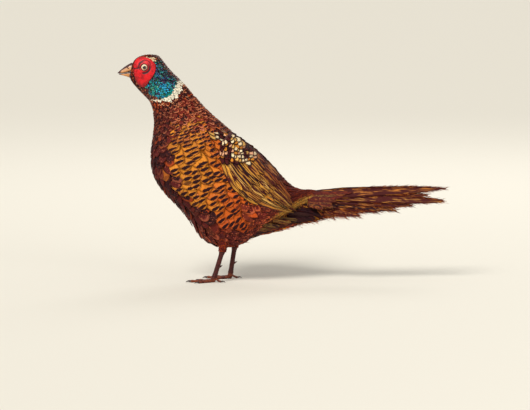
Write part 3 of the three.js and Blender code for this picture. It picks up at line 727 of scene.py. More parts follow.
def paint_head(place, angle):
    """Crown, brow, throat, gloss patch, nape and collar."""
    n = len(place)
    height = bulge(np.cos(angle))
    jitter = rng.normal(0, 1, n)
    ground = choose(n, (3, MAROON), (2, DEEP), (1, RUST))

    # The gloss patch runs from behind the face down to the collar
    lowest = np.interp(place, [3, 4, 4.7, 5.6, 6.6], [-0.5, -0.62, -0.72, -0.62, -0.40])
    patch = smooth(place + 0.06 * jitter, 2.8, 3.3) * smooth(height + 0.04 * jitter - lowest, -0.06, 0.06)
    patch *= 1 - smooth(height + 0.03 * jitter, 0.80, 0.92)
    bright = 1 - smooth(height - 0.32 * (place - 4.5), -0.3, 0.4) * 0.9
    shades = choose(n, (4, TEAL), (0.8, BLUE), (2.4, BOTTLE), (3.4, NIGHT), (1.0, PLUM), (1.1, GRASS))
    core = hump(place, 5.55, 0.75) * hump(height, 0.08, 0.36)
    blue = (rng.uniform(0, 1, n) < core * 0.52)[:, None]
    shades = np.where(blue, np.array(BLUE) * rng.uniform(0.9, 1.3, (n, 1)), shades)
    dark = choose(n, (4, NIGHT), (1.5, BOTTLE), (0.6, INK), (0.5, TEAL), (1, PLUM))
    lit = (rng.uniform(0, 1, n) < bright)[:, None]
    ground = lay(ground, patch, np.where(lit, shades, dark))
    nape = smooth(height, 0.6, 0.85) * smooth(place, 3.2, 4.2)
    ground = lay(ground, nape * 0.6 * (rng.uniform(0, 1, n) < 0.5), NIGHT)

    # A pale brow between the crown and the face
    brow = hump(height, 0.82, 0.055) * smooth(place, 1.5, 2.1) * (1 - smooth(place, 3.1, 3.6))
    ground = lay(ground, (brow > 0.45) * 0.95, CREAM)

    # The collar, broken at the throat
    middle = np.interp(height, [-1, -0.88, -0.5, -0.13, 0.31, 0.72, 0.9, 1],
                       [5.4, 5.6, 6.75, 7.05, 6.95, 6.6, 6.35, 6.3])
    width = np.interp(height, [-0.9, -0.5, 0, 0.4, 0.75, 1], [0.10, 0.20, 0.30, 0.36, 0.34, 0.20])
    place = place + 0.05 * jitter
    collar = (np.abs(place - middle) < width) & (height > -0.88)
    ground = np.where(collar[:, None], np.array(WHITE) * rng.uniform(0.85, 1.05, (n, 1)), ground)
    below = place > middle + width
    under = choose(n, (3, MAROON), (2, DEEP), (1, RUST))
    ground = np.where((below & ~collar)[:, None], under, ground)
    rim = choose(n, (1, FLECKS["collar"]), (1, FLAME))
    flecked = rng.uniform(0, 1, n) < mix(0.15, 0.5, smooth(height, -0.9, 0.0))
    rims = np.where(below & ~collar, flecked * 0.95, 0)
    glossed = (patch > 0.5) & ~below
    rims = rims + np.where(glossed & ~collar, 0.55, 0)
    gleam = choose(n, (1, GLEAM), (2, NIGHT), (0.8, BLUE), (0.8, BOTTLE))
    rim = np.where(glossed[:, None], gleam, rim)
    return vane_paint(ground, DEEP, rim, 0, 0, rims)


PLUMAGE = feather_material("Soft body plumage", 0.7, Specular_IOR_Level=0.12)
GLOSSY = feather_material("Glossed neck plumage", 0.38, barbs=10.0, Metallic=0.2, Specular_IOR_Level=0.35)
FLIGHT = feather_material("Flight feather vanes", 0.62, barbs=60.0, long_marks=(1.9, 1.9, 0.64),
                          Specular_IOR_Level=0.15)
TAIL_VANES = feather_material("Tail feather vanes", 0.62, barbs=90.0, long_marks=(5.0, 9.0, 0.58),
                              Specular_IOR_Level=0.15)

# Places along the body, with how far apart the rows of feathers stand there, and the feathers in a row
SPACING = np.array([[0, 2.0, 2.4], [2, 2.4, 2.8], [4, 2.7, 3.2], [6, 2.9, 3.4], [7, 3.3, 4.2],
                    [8.5, 4.2, 5.8], [10, 6.5, 10], [11.5, 11, 19.5], [17, 11.5, 20], [20, 8, 11],
                    [23, 7, 8], [BODY_END, 6, 6]])
ROW_SPACING, FEATHER_SPACING = SPACING[:, [0, 1]].T, SPACING[:, [0, 2]].T

# The mantle's lower edge fades out between these heights
MANTLE_FOOT = (236, 250)
# Two small tufts behind the crown: their place along the body, their length there and how far they stand up
EAR_TUFT = {"place": 3.6, "length": 0.55, "lift": 3.2}

# Folded wing: its shoulder and tip in side view, how far out its tip stands, and how full it is
WING = {"shoulder": (20, 296), "tip": (170, 141), "tip_out": 27, "full": 5}
WING_LINE = np.subtract(WING["tip"], WING["shoulder"])
WING_LENGTH = float(np.hypot(*WING_LINE))
WING_ALONG = WING_LINE / WING_LENGTH
WING_ACROSS = np.array([-WING_ALONG[1], WING_ALONG[0]])


def arch(share):
    return np.sin(np.pi * np.clip(share, 0, 1))


def wing_edges(share):
    back = mix(10, 3, share) + 13.5 * np.maximum(arch(share * 1.1), 0) ** 0.8
    front = -4 - 54 * np.maximum(arch(np.maximum(0, share) ** 0.85), 0) ** 0.75
    return front, back


def wing_spot(share, breadth):
    """The side-view x and z of a place on the wing."""
    front, back = wing_edges(share)
    across = mix(front, back, breadth)
    x = WING["shoulder"][0] + share * WING_LENGTH * WING_ALONG[0] + across * WING_ACROSS[0]
    z = WING["shoulder"][1] + share * WING_LENGTH * WING_ALONG[1] + across * WING_ACROSS[1]
    return x, z


def wing_shares(x, z):
    dx, dz = x - WING["shoulder"][0], z - WING["shoulder"][1]
    share = (dx * WING_ALONG[0] + dz * WING_ALONG[1]) / WING_LENGTH
    front, back = wing_edges(share)
    return share, (dx * WING_ACROSS[0] + dz * WING_ACROSS[1] - front) / (back - front)


def wing_top(x, z):
    share, breadth = wing_shares(x, z)
    body = side_of_body(x, z, NECK_BASE, TAIL_HEAD)
    free = mix(74, WING["tip_out"], share)
    bed = mix(body, np.maximum(body, free), smooth(share, 0.55, 1.0))
    return bed + 1 + WING["full"] * np.maximum(0, 4 * breadth * (1 - breadth)) * (1 - 0.5 * share)


def on_wing(share, breadth, lift, side=RIGHT):
    x, z = wing_spot(share, breadth)
    return on_bed(wing_top, x, z, lift) * (1, side, 1)


# The skin and the coat over it
def down_material():
    """Soft down in the colours of the feathers over it."""
    material, nodes, links, shader = new_material("Down over the skin", 0.85, Specular_IOR_Level=0.1)
    maths = Maths(nodes, links)
    grain = maths("MULTIPLY_ADD", noise(nodes, links, 700.0, 4.0), 0.8, 0.5)
    shaded(nodes, links, shader, attribute(nodes, "Ground"), grain)
    bump(nodes, links, shader, noise(nodes, links, 1500.0, 3.0), 0.5, 0.0006)
    return material


def make_skin():
    """The whole body under the coat, sunk a little deeper where the feathers are larger."""
    around = 72
    places = np.concatenate([[-0.001], np.linspace(0, BODY_END, 150)])
    turns = np.linspace(0, 2 * np.pi, around, endpoint=False)
    depth = np.interp(places, [0, 5, 8, 11, BODY_END], [1.2, 2.4, 3.5, 5.5, 3.0])
    rings = [on_body(max(p, 0), turns, -d if p >= 0 else -6.0) for p, d in zip(places, depth)]
    piece = closed_piece("skin", *loft(rings), down_material())
    place, turn = np.repeat(np.maximum(places, 0), around), np.tile(turns, len(places))
    head = paint_head(place, turn)["Ground"]
    body = paint_body(place, turn)["Ground"]
    set_colour(piece, "Ground", 0.8 * with_caps(np.where((place < 7.8)[:, None], head, body)))
    return piece


skin = make_skin()
wear("body_plumage", skin)
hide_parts("head", "neck_upper", "neck_lower", "torso", "thigh_left", "thigh_right")


def kept(roots, keep):
    return tuple(part[keep] for part in roots)


def lay_coat():
    """The short feathers of the whole body, apart from those that the face and wings hide."""
    roots = rows_round_body(0.0, 7.75)
    roots = kept(roots, ~inside_face(on_body(*roots[:2]), 0.97))
    glossed = (roots[0] > 2.6) & (roots[0] < 6.4)
    head, neck = kept(roots, ~glossed), kept(roots, glossed)
    wear("head_plumage", body_feathers("head_feathers", head, paint_head, PLUMAGE, 1.8, 2.6, 0.3))
    wear("neck_plumage", body_feathers("neck_feathers", neck, paint_head, GLOSSY, 2.4, 2.8, 0.4))
    roots = rows_round_body(7.6, BODY_END - 0.3)
    x, y, z = on_body(*roots[:2]).T
    share, breadth = wing_shares(x, z)
    under = (share > 0.10) & (share < 0.86) & (breadth > 0.12) & (breadth < 0.86) & (np.abs(y) > 14)
    roots = kept(roots, ~under)
    for name, slot, first, last, depth in (("breast_feathers", "breast_plumage", 0, 11, 4.0),
                                           ("flank_feathers", "body_plumage", 11, 17, 5.5),
                                           ("rump_feathers", "body_plumage", 17, 99, 5.5)):
        part = kept(roots, (roots[0] >= first) & (roots[0] < last))
        wear(slot, body_feathers(name, part, paint_body, PLUMAGE, depth, 3.2, 1.0))


lay_coat()


# Wings
# Each tier: how many feathers, their roots' and tips' shares along the wing, the spans of the roots
# and of the tips across it, and how far root and tip stand over the wing
TIERS = {
    "median": (11, (0.12, 0.50), (0.03, 0.92), (0.03, 0.94), (-1.4, 2.9)),
    "greater": (11, (0.32, 0.66), (0.05, 0.93), (0.05, 0.95), (-1.4, 3.2)),
    "secondary": (13, (0.46, 0.88), (0.28, 0.93), (0.26, 0.92), (-0.6, 3.1)),
    "primary": (9, (0.50, 0.93), (0.08, 0.44), (0.18, 0.62), (-1.0, 0.6)),
}
SCAPULAR_ROWS = 13


def coat_patch(points, side):
    """Where side-view points lie on the unwrapped body, for the baked colours."""
    place, height, _ = through_body(points[..., 0], points[..., 2])
    return body_patch(place, np.arccos(np.clip(height, -1, 1)) * side)


def wing_paint(n, k, edge=1.0):
    """Straw and tan vanes with dark edges and long dark marks, darker towards the back."""
    ground = choose(n, (4, TAN), (1.2, STRAW), (1, BROWN["wing"]), (0.4, GOLD))
    dark = smooth(k + 0.05 * rng.normal(0, 1, n), 0.66, 0.92)
    ground = lay(ground, dark * 0.75, RUST)
    marks = np.clip(mix(0.74 + 0.4 * k, 1.25, dark) * rng.uniform(0.8, 1.2, n), 0, 1)
    return vane_paint(ground, choose(n, (2, MAROON), (1, DEEP)), MAROON,
                      rng.uniform(0, 1, n), marks, edge * rng.uniform(0.6, 1.0, n))


def wing_tier(side_name, side, tier):
    """A row of long feathers that fan out from the shoulder towards the wing's tip."""
    count, along, roots, tips, rise = TIERS[tier]
    k = np.arange(count) / (count - 1)
    first, last = mix(*roots, k), mix(*tips, k)
    bend = rng.normal(0, 0.006, count)
    start = along[0] + rng.normal(0, 0.012, count)
    length = (along[1] - along[0]) * (1 + rng.normal(0, 0.05, count))
    if tier == "primary":
        length = length + 0.03 * k
    front, back = wing_edges(mix(*along, 0.6))
    pitch = (tips[1] - tips[0]) * (back - front) / (count - 1)
    half = 0.86 * pitch / (back - front) * (1.25 if tier in ("secondary", "primary") else 1.0)
    order = rng.normal(0, 0.08, count) + 0.5 * k

    def point_at(t, edge, lift):
        share = start + length * t
        breadth = mix(first, last, t) + bend * t + edge * half * mix(0.75, 1.0, t)
        height = mix(rise[0], rise[1], np.clip(t * 1.15, 0, 1)) + order + edge * 0.35 + lift
        return on_wing(share, breadth, height, side)

    paint = wing_paint(count, k, 0.35 if tier in ("median", "greater") else 0.8)
    bake = coat_patch(on_wing(start, first, 0 * k, side), side)
    name = f"{tier}_{side_name}"
    return feather_piece(name, point_at, paint, bake, FLIGHT, 0.4, 0.5, LONG_VANE, ragged=0.08)


def scapulars(side_name, side):
    """Short round feathers with cream hearts over the shoulder, dark ones along the back."""
    shares, breadths, sizes = [], [], []
    for row in range(SCAPULAR_ROWS):
        share = 0.035 + 0.021 * row
        front, back = wing_edges(share + 0.04)
        number = max(3, int((back - front) / 7.2))
        at = (np.arange(number) + 0.5 * (row % 2) + rng.normal(0, 0.12, number)) / number
        shares.append(share + rng.normal(0, 0.004, number))
        breadths.append(mix(0.03, 0.97, np.clip(at, 0, 1)))
        sizes.append(np.full(number, 5.0 / (back - front)))
    share, breadth, half = map(np.concatenate, (shares, breadths, sizes))
    tip_z = wing_spot(share + 0.07, breadth)[1]
    above = tip_z + 3 * rng.normal(0, 1, len(share)) > 240
    share, breadth, half = share[above], breadth[above], half[above]
    n = len(share)
    length = rng.uniform(0.075, 0.10, n) * mix(0.5, 1.0, smooth(share, 0.04, 0.15))
    sway = rng.normal(0, 0.02, n) + 0.05 * (0.5 - breadth)
    stack = 0.9 * share / 0.28

    def point_at(t, edge, lift):
        height = mix(-1.8, 2.4, np.clip(t * 1.2, 0, 1)) + stack + lift
        return on_wing(share + length * (t - 0.2), breadth + sway * t + edge * half, height, side)

    narrow = wing_edges(share)
    half = half * np.minimum(1, (narrow[1] - narrow[0]) / 40)
    hearts = (rng.uniform(0, 1, n) < mix(0.72, 0.25, smooth(breadth, 0.84, 0.96)))[:, None]
    heart = choose(n, (3, CREAM), (2, STRAW), (1.5, GOLD), (2, ROSE))
    ground = np.where(hearts, heart, choose(n, (2, MAROON), (1, DEEP)))
    paint = vane_paint(ground, DEEP, choose(n, (3, DEEP), (1, MAROON)), 0, 0, rng.uniform(0.85, 1, n))
    bake = coat_patch(on_wing(share, breadth, 0 * share, side), side)
    return feather_piece(f"scapulars_{side_name}", point_at, paint, bake, PLUMAGE, 0.35, 0.6, ragged=0.08)


def wing_bed(side_name, side):
    """The closed pad of down that a wing's feathers stand on."""
    s, b = np.meshgrid(np.linspace(0.02, 0.9, 34), np.linspace(0.03, 0.97, 20), indexing="ij")
    taper = 0.25 + 0.75 * np.minimum(1, 6 * np.minimum(s, 0.95 - s))
    top = on_wing(s, b, -0.5 * np.ones_like(s), side)
    low = on_wing(s, b, -0.5 - 4.2 * taper, side)
    points, faces = loft(np.concatenate([top, low[:, ::-1]], 1))
    piece = closed_piece(f"wing_down_{side_name}", points, faces, DOWN)
    set_uv(piece, "OFBake", coat_patch(points, side))
    return piece


DOWN = new_material("Dark down", 0.85, Base_Color=(*MAROON, 1))[0]

for side_name, side in SIDES:
    pieces = [wing_bed(side_name, side), scapulars(side_name, side)]
    pieces += [wing_tier(side_name, side, tier) for tier in TIERS]
    wear("wing_plumage", *pieces)
    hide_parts(f"wing_{side_name}")


# Tail
# The tail is a low roof: which way its right side faces, and where its feathers end in side view
ROOF_OUT = np.array([0, 0.819, 0.574])
TAIL_TIPS = [(462, 185.5), (458, 160), (425, 172), (395, 152), (362, 143), (325, 140), (290, 132),
             (262, 131), (238, 130)]


def on_roof(x, z, plane):
    """Points of the tail's right side. The plane is its distance out from the middle of the drawing."""
    return np.stack(np.broadcast_arrays(x, (plane - ROOF_OUT[2] * z) / ROOF_OUT[1], z), -1)


def free_frame(root, tip, out):
    """Each vane's whole run, and the directions across it and out from it."""
    run = tip - root
    ahead = unit(run)
    out = unit(out - ahead * (out * ahead).sum(-1)[:, None])
    return run, np.cross(ahead, out), out


def free_feathers(name, root, tip, out, half, paint, bake, material, side=RIGHT, keep=0.25,
                  floor=None, **kind):
    """Straight vanes that stand free of the body, from roots to tips.

    They keep to their own side of the middle, and above a floor in side view.
    """
    run, across, out = free_frame(root, tip, np.broadcast_to(out, root.shape))

    def point_at(t, edge, lift):
        middle = root + run * t
        at = middle + across * (edge * half)[:, None] + out * lift
        at[:, 1] = np.maximum(at[:, 1], keep)
        if floor is not None:
            at[:, 2] += np.maximum(np.interp(middle[:, 0], *floor.T) - middle[:, 2], 0)
        return at * (1, side, 1)

    return feather_piece(name, point_at, paint, bake, material, 0.4, 0.5, **kind)


def strands(name, starts, directions, lengths, width, colours, bake):
    """Loose barbs: thin closed three-sided spikes, each from its own start."""
    n = len(starts)
    across = unit(np.cross(directions, rng.normal(0, 1, (n, 3))))
    other = unit(np.cross(directions, across))
    turns = np.array([0, 2.1, 4.2])[None, :, None]
    section = across[:, None] * np.cos(turns) + other[:, None] * np.sin(turns)
    rows = []
    for t, share in ((0, 1.0), (0.4, 0.8), (0.8, 0.45), (1.0, 0.06)):
        middle = starts + directions * (lengths * t)[:, None]
        rows.append(middle[:, None] + section * width * share)
    sides = [[3 * i + j, 3 * i + k, 3 * i + 3 + k, 3 * i + 3 + j]
             for i in range(3) for j, k in ((0, 1), (1, 2), (2, 0))]
    corners = 12
    faces = [[first + corner for corner in face] for face in (*sides, [0, 2, 1], [9, 10, 11])
             for first in range(0, corners * n, corners)]
    piece = closed_piece(name, np.stack(rows, 1).reshape(-1, 3), faces, BARBS)
    set_colour(piece, "Ground", np.repeat(colours, corners, 0))
    set_uv(piece, "OFBake", np.repeat(bake, corners, 0))
    return piece


BARBS = painted_material("Loose barbs", "Ground", 0.7, Specular_IOR_Level=0.12)


def tail_patch(feather, side):
    """Each tail feather's own place beyond the unwrapped body's end, for the baked colours."""
    return np.stack([0.08 + 0.045 * feather + (0.45 if side > 0 else 0), np.full(len(feather), 0.985)], 1)


def tail_side(side_name, side):
    """Nine tail feathers, the covers over their roots, and the loose barbs of their edges."""
    tips = np.array(TAIL_TIPS, float)
    k = np.arange(len(tips))
    plane = 107.2 - 1.1 * k
    root = on_roof(np.full(len(k), 187.0), 174 - 1.47 * k, plane)
    tip = on_roof(tips[:, 0], tips[:, 1], plane)
    half = 12.5 * np.minimum(1, np.linalg.norm(tip - root, axis=1) / 90)
    n = len(k)
    ground = choose(n, (2, BROWN["tail"]), (1, BROWN["tail_pale"]))
    marks, rims = choose(n, (2, MAROON), (1, DEEP)), choose(n, (1, MAROON), (2, BROWN["tail_rim"]))
    paint = vane_paint(ground, marks, rims, rng.uniform(0, 1, n), rng.uniform(0.9, 1.0, n),
                       rng.uniform(0.4, 0.9, n))
    made = [free_feathers(f"tail_feathers_{side_name}", root, tip, ROOF_OUT, half, paint, tail_patch(k, side),
                          TAIL_VANES, side, shape=TAIL_VANE, ragged=0.07)]

    # Covers over the tail's root
    n = 16
    row = np.linspace(0, 1, n)
    over_root = on_roof(184 + 2 * row, 175 - 20 * row, 109.0 + 1.2 * rng.uniform(0, 1, n))
    over_x = mix(262, 222, row) + rng.normal(0, 7, n)
    over = on_roof(over_x, 178 - 30 * row, 109.0 + 0.9 * rng.uniform(0, 1, n))
    paint = dict(wing_paint(n, np.full(n, 0.9), 0.4))
    paint["Ground"] = choose(n, (0.6, OLIVE), (2, BROWN["tail_cover"]), (1, RUST))
    spot, _, rims = paint["Amounts"].T
    paint["Amounts"] = np.stack([spot, rng.uniform(0.7, 0.95, n), rims], 1)
    bake = coat_patch(over_root * (1, 0, 1), side)
    made.append(free_feathers(f"tail_covers_{side_name}", over_root, over, ROOF_OUT, np.full(n, 5.0), paint,
                              bake, TAIL_VANES, side, shape=LONG_VANE, ragged=0.09))

    # Loose barbs along the edges and at the tips
    barbs_each = 120
    which = np.repeat(k, barbs_each)
    n = len(which)
    run, across, out = free_frame(root, tip, np.broadcast_to(ROOF_OUT, root.shape))
    t = rng.uniform(0.3, 1.0, n) ** 0.7
    edge = np.where(rng.uniform(0, 1, n) < 0.5, -1, 1) * rng.uniform(0.75, 1.0, n)
    breadth = np.interp(t, *TAIL_VANE.T)
    start = root[which] + run[which] * t[:, None] + across[which] * (edge * breadth * half[which])[:, None]
    lean = across[which] * (np.sign(edge) * rng.uniform(0.12, 0.42, n))[:, None]
    direction = unit(unit(run[which]) + lean + out[which] * rng.normal(0, 0.04, (n, 1)))
    # None of them crosses the middle
    start[:, 1] = np.maximum(start[:, 1], 0.6)
    direction[:, 1] = np.where(start[:, 1] < 4, np.maximum(direction[:, 1], 0), direction[:, 1])
    tint = choose(n, (2, MAROON), (1.5, RUST), (1, BROWN["tail_barb"]))
    made.append(strands(f"tail_barbs_{side_name}", start * (1, side, 1), direction * (1, side, 1),
                        rng.uniform(5, 13, n), 0.35, tint, tail_patch(which, side)))
    wear("tail_plumage", *made)
    return made


for side_name, side in SIDES:
    for piece in tail_side(side_name, side):
        if side == LEFT:
            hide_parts("tail")


# The lower edge of the feathers under the tail, x and z
UNDER_EDGE = np.array([[40, 70], [60, 79], [75, 93], [96, 98], [130, 99], [154, 106], [174, 113], [193, 115],
                       [212, 119], [226, 123], [254, 129], [280, 133]])


def under_tail():
    """Soft covers at the belly's end and the tail's root: dark, with a bright frayed lower edge."""
    number = 15
    places, angles = [], []
    for row, place in enumerate(np.arange(17.9, 24.6, 0.36)):
        spread = 1.35 * ((np.arange(number) + 0.5 * (row % 2)) / (number - 0.5) * 2 - 1)
        places.append(place + rng.normal(0, 0.08, number))
        angles.append(np.pi + spread + rng.normal(0, 0.05, number))
    place, angle = np.concatenate(places), np.concatenate(angles)
    n = len(place)
    height = bulge(np.cos(angle))
    root = on_body(place, angle, -3.0)
    reach = rng.uniform(34, 48, n) * mix(0.75, 1.1, smooth(place, 18, 23))
    x = root[:, 0] + reach
    low = np.interp(x, *UNDER_EDGE.T)
    z = low + (height + 1) * mix(16, 26, smooth(place, 18, 24)) + rng.normal(0, 0.8, n)
    tip = np.stack([x, root[:, 1] * 0.72, np.minimum(z, root[:, 2] + 6)], 1)
    out = unit(on_body(place, angle, 1.0) - on_body(place, angle, 0.0))
    edge = 1 - smooth(height + 0.1 * rng.normal(0, 1, n), -0.88, -0.62)
    upper = smooth(height + 0.06 * rng.normal(0, 1, n), -0.42, -0.25) * (1 - smooth(place, 20.6, 21.6))
    ground = choose(n, (3, MAROON), (3, DEEP), (0.2, RUST))
    bright = choose(n, (2, FLAME), (1, GOLD), (1.2, RUST))
    ground = lay(ground, edge, bright)
    ground = lay(ground, upper * 0.85, OLIVE)
    black = smooth(x, 158, 172) * (1 - smooth(x, 214, 230)) * (1 - edge)
    ground = lay(ground, black * 0.9, DEEP)
    amounts = (rng.uniform(0, 1, n), 0.35 + 0.4 * edge + 0.4 * upper,
               rng.uniform(0, 0.35, n) * (1 - edge) * (1 - black))
    marks, rims = choose(n, (1, MAROON), (1, DEEP)), choose(n, (1, RUST), (1, FLAME))
    paint = vane_paint(ground, marks, rims, *amounts)
    bake = body_patch(place, angle)
    covers = free_feathers("under_tail_feathers", root, tip, out, rng.uniform(3.6, 5.0, n), paint, bake,
                           FLIGHT, keep=-99, floor=UNDER_EDGE, ragged=0.14)
    wear("body_plumage", covers)

    # Loose barbs along the lower edge
    picked = rng.integers(0, n, 420)
    picked = picked[(height[picked] < -0.6)]
    m = len(picked)
    run = unit(tip - root)[picked]
    t = rng.uniform(0.55, 1.0, m)
    start = root[picked] + (tip - root)[picked] * t[:, None] + rng.normal(0, 1.6, (m, 3))
    start[:, 2] = np.maximum(start[:, 2], np.interp(start[:, 0], *UNDER_EDGE.T))
    direction = unit(run + np.stack([np.zeros(m), rng.normal(0, 0.15, m), rng.uniform(-0.35, 0.05, m)], 1))
    tint = choose(m, (2, FLAME), (2, RUST), (1.5, TAN))
    length = rng.uniform(6, 13, m)
    wear("body_plumage", strands("under_tail_barbs", start, direction, length, 0.3, tint, bake[picked]))


under_tail()


# Legs
def frames_along(path):
    """Two directions square to a path at each of its points, the first one level or nearly so."""
    ahead = unit(np.gradient(path, axis=0))
    whole = path[-1] - path[0]
    upright = abs(whole[2]) > 0.7 * np.linalg.norm(whole)
    side = unit(np.cross((0.0, 1.0, 0.0) if upright else (0.0, 0.0, 1.0), ahead))
    return side, np.cross(ahead, side)


def tube(path, radius, around, relief=None):
    """A closed tube. relief(t, angle) raises its surface, and angle 0 is along the second direction."""
    side, up = frames_along(path)
    t = np.linspace(0, 1, len(path))
    angle = np.linspace(0, 2 * np.pi, around, endpoint=False)
    high = np.zeros((len(path), around)) if relief is None else relief(t[:, None], angle[None])
    out = np.asarray(radius)[:, None] + high
    rings = path[:, None] + side[:, None] * (np.sin(angle) * out)[..., None]
    return loft(rings + up[:, None] * (np.cos(angle) * out)[..., None])


def joined(name, parts, material):
    """One piece of several closed ones."""
    points, faces, count = [], [], 0
    for part_points, part_faces in parts:
        points.append(part_points)
        faces += [[i + count for i in face] for face in part_faces]
        count += len(part_points)
    return closed_piece(name, np.vstack(points), faces, material)


def scutes(number, height, front, spread=1.0):
    """Overlapping plates over one face of a tube, and small round scales over the rest."""
    def relief(t, angle):
        near = np.abs((angle - front + np.pi) % (2 * np.pi) - np.pi)
        plate = (t * number) % 1
        step = height * (plate**1.5 - (1 - smooth(plate, 0.0, 0.12)) * 0.6)
        small = height * 0.55 * np.sin(t * number * 4.4 * np.pi) * np.sin(angle * 9 + 0.6 * np.sin(t * 40))
        return mix(step, small, smooth(near, 0.75 * spread, 1.05 * spread))
    return relief


def leg_material(name, colour, low, roughness=0.5):
    """Horny skin: darker and redder in its hollows."""
    material, nodes, links, shader = new_material(name, roughness, Specular_IOR_Level=0.25)
    maths = Maths(nodes, links)
    grain = noise(nodes, links, 260.0, 4.0)
    dark = maths("ADD", grain, maths("MULTIPLY", noise(nodes, links, 60.0, 2.0), 0.5))
    colour = maths.blend(maths.between(dark, 0.60, 0.98), colour, low)
    links.new(colour, shader.inputs["Base Color"])
    bump(nodes, links, shader, grain, 0.4, 0.0004)
    return material


SHANK_SKIN = leg_material("Leg scales", (0.075, 0.011, 0.008), (0.030, 0.004, 0.004))
TOE_SKIN = leg_material("Toe scales", (0.20, 0.042, 0.014), (0.045, 0.006, 0.006))
HORN = leg_material("Dark horn", (0.035, 0.012, 0.010), (0.012, 0.005, 0.005), 0.32)


def along_line(a, b, count):
    return a + (b - a) * np.linspace(0, 1, count)[:, None]


def make_shank(leg, top, end):
    """The scaled shank, wider at both its ends, and its spur."""
    t = np.linspace(0, 1, 150)
    radius = (SHANK_RADIUS + 0.25) * (1 + 0.32 * (1 - smooth(t * 5)) + 0.16 * smooth(t * 5 - 4))
    shank = tube(along_line(top, end, len(t)), radius, 40, scutes(15, 0.5, np.pi / 2 * 3, 1.15))
    scales = closed_piece(f"shank_scales_{leg['name']}", *shank, SHANK_SKIN)
    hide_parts(f"shank_{leg['name']}")
    s = np.linspace(0, 1, 14)
    out, rise = np.array([12.5, -leg["side"] * 3, 3]), np.array([0, 0, 2.5])
    line = top + (end - top) * 0.64 + 0.82 * (out * s[:, None] + rise * (s**2)[:, None])
    return [scales, closed_piece(f"spur_{leg['name']}", *tube(line, mix(3.0, 0.4, s**1.5), 14), SHANK_SKIN)]


def make_toe(leg, toe, length, degrees, thick):
    """A padded toe, flat on the ground, with its claw in a piece of its own."""
    turn = math.radians(degrees) * leg["side"]
    ahead = np.array([-math.cos(turn), math.sin(turn), 0])
    hind = toe == "hind"
    t = np.linspace(0, 1, 70)
    path = np.array([leg["foot_x"], leg["side"] * LEG_SPREAD, 0]) + ahead * (t * length)[:, None]
    path[:, 2] = mix(7.5, 2.1, smooth(t)) if hind else mix(4.6, thick * 0.62, smooth(t * 2.5))
    radius = (thick - 0.15) * (1 - 0.34 * t) * (1 + 0.12 * np.cos(t * length * 0.42))
    points, faces = tube(path, radius, 24, scutes(length / 2.6, 0.38, 0.0, 1.2))
    points[:, 2] = np.maximum(points[:, 2], 0.15)

    t = np.linspace(0, 1, 16)
    span = CLAW_LENGTH * (0.8 if hind else 1)
    claw = path[-1] + ahead * (t * span + (0.9 if hind else 0.3))[:, None]
    claw[:, 2] += 1.3 * np.sin(np.pi * t) - t * (path[-1][2] - 0.9)
    claw_points, claw_faces = tube(claw, mix(radius[-1] * 0.82, 0.35, t**1.3), 14)
    claw_points[:, 2] = np.maximum(claw_points[:, 2], 0.05)
    horn = closed_piece(f"claw_horn_{leg['name']}_{toe}", claw_points, claw_faces, HORN)
    wear("claw", horn)
    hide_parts(f"claw_{leg['name']}_{toe}")
    return points, faces


def make_leg(leg):
    """Shank, spur, toes and claws."""
    y = leg["side"] * LEG_SPREAD
    ankle, foot = np.array([leg["ankle"][0], y, leg["ankle"][1]]), np.array([leg["foot_x"], y, 7.0])
    down = unit(foot - ankle)
    top, end = ankle + down * 0.5, foot - down * 4
    made = make_shank(leg, top, end)
    stump = np.array([end + down * 0.3, end + down * 2, foot + (0, 0, 0.5), foot + (-1, 0, -3.4),
                      foot + (-1, 0, -6.6)])
    parts = [tube(stump, SHANK_RADIUS * np.array([1.14, 1.16, 1.2, 1.08, 0.7]), 20)]
    parts += [make_toe(leg, *toe) for toe in TOES]
    toes = joined(f"toes_{leg['name']}", parts, TOE_SKIN)
    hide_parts(f"foot_{leg['name']}")
    wear("leg_scales", *made, toes)


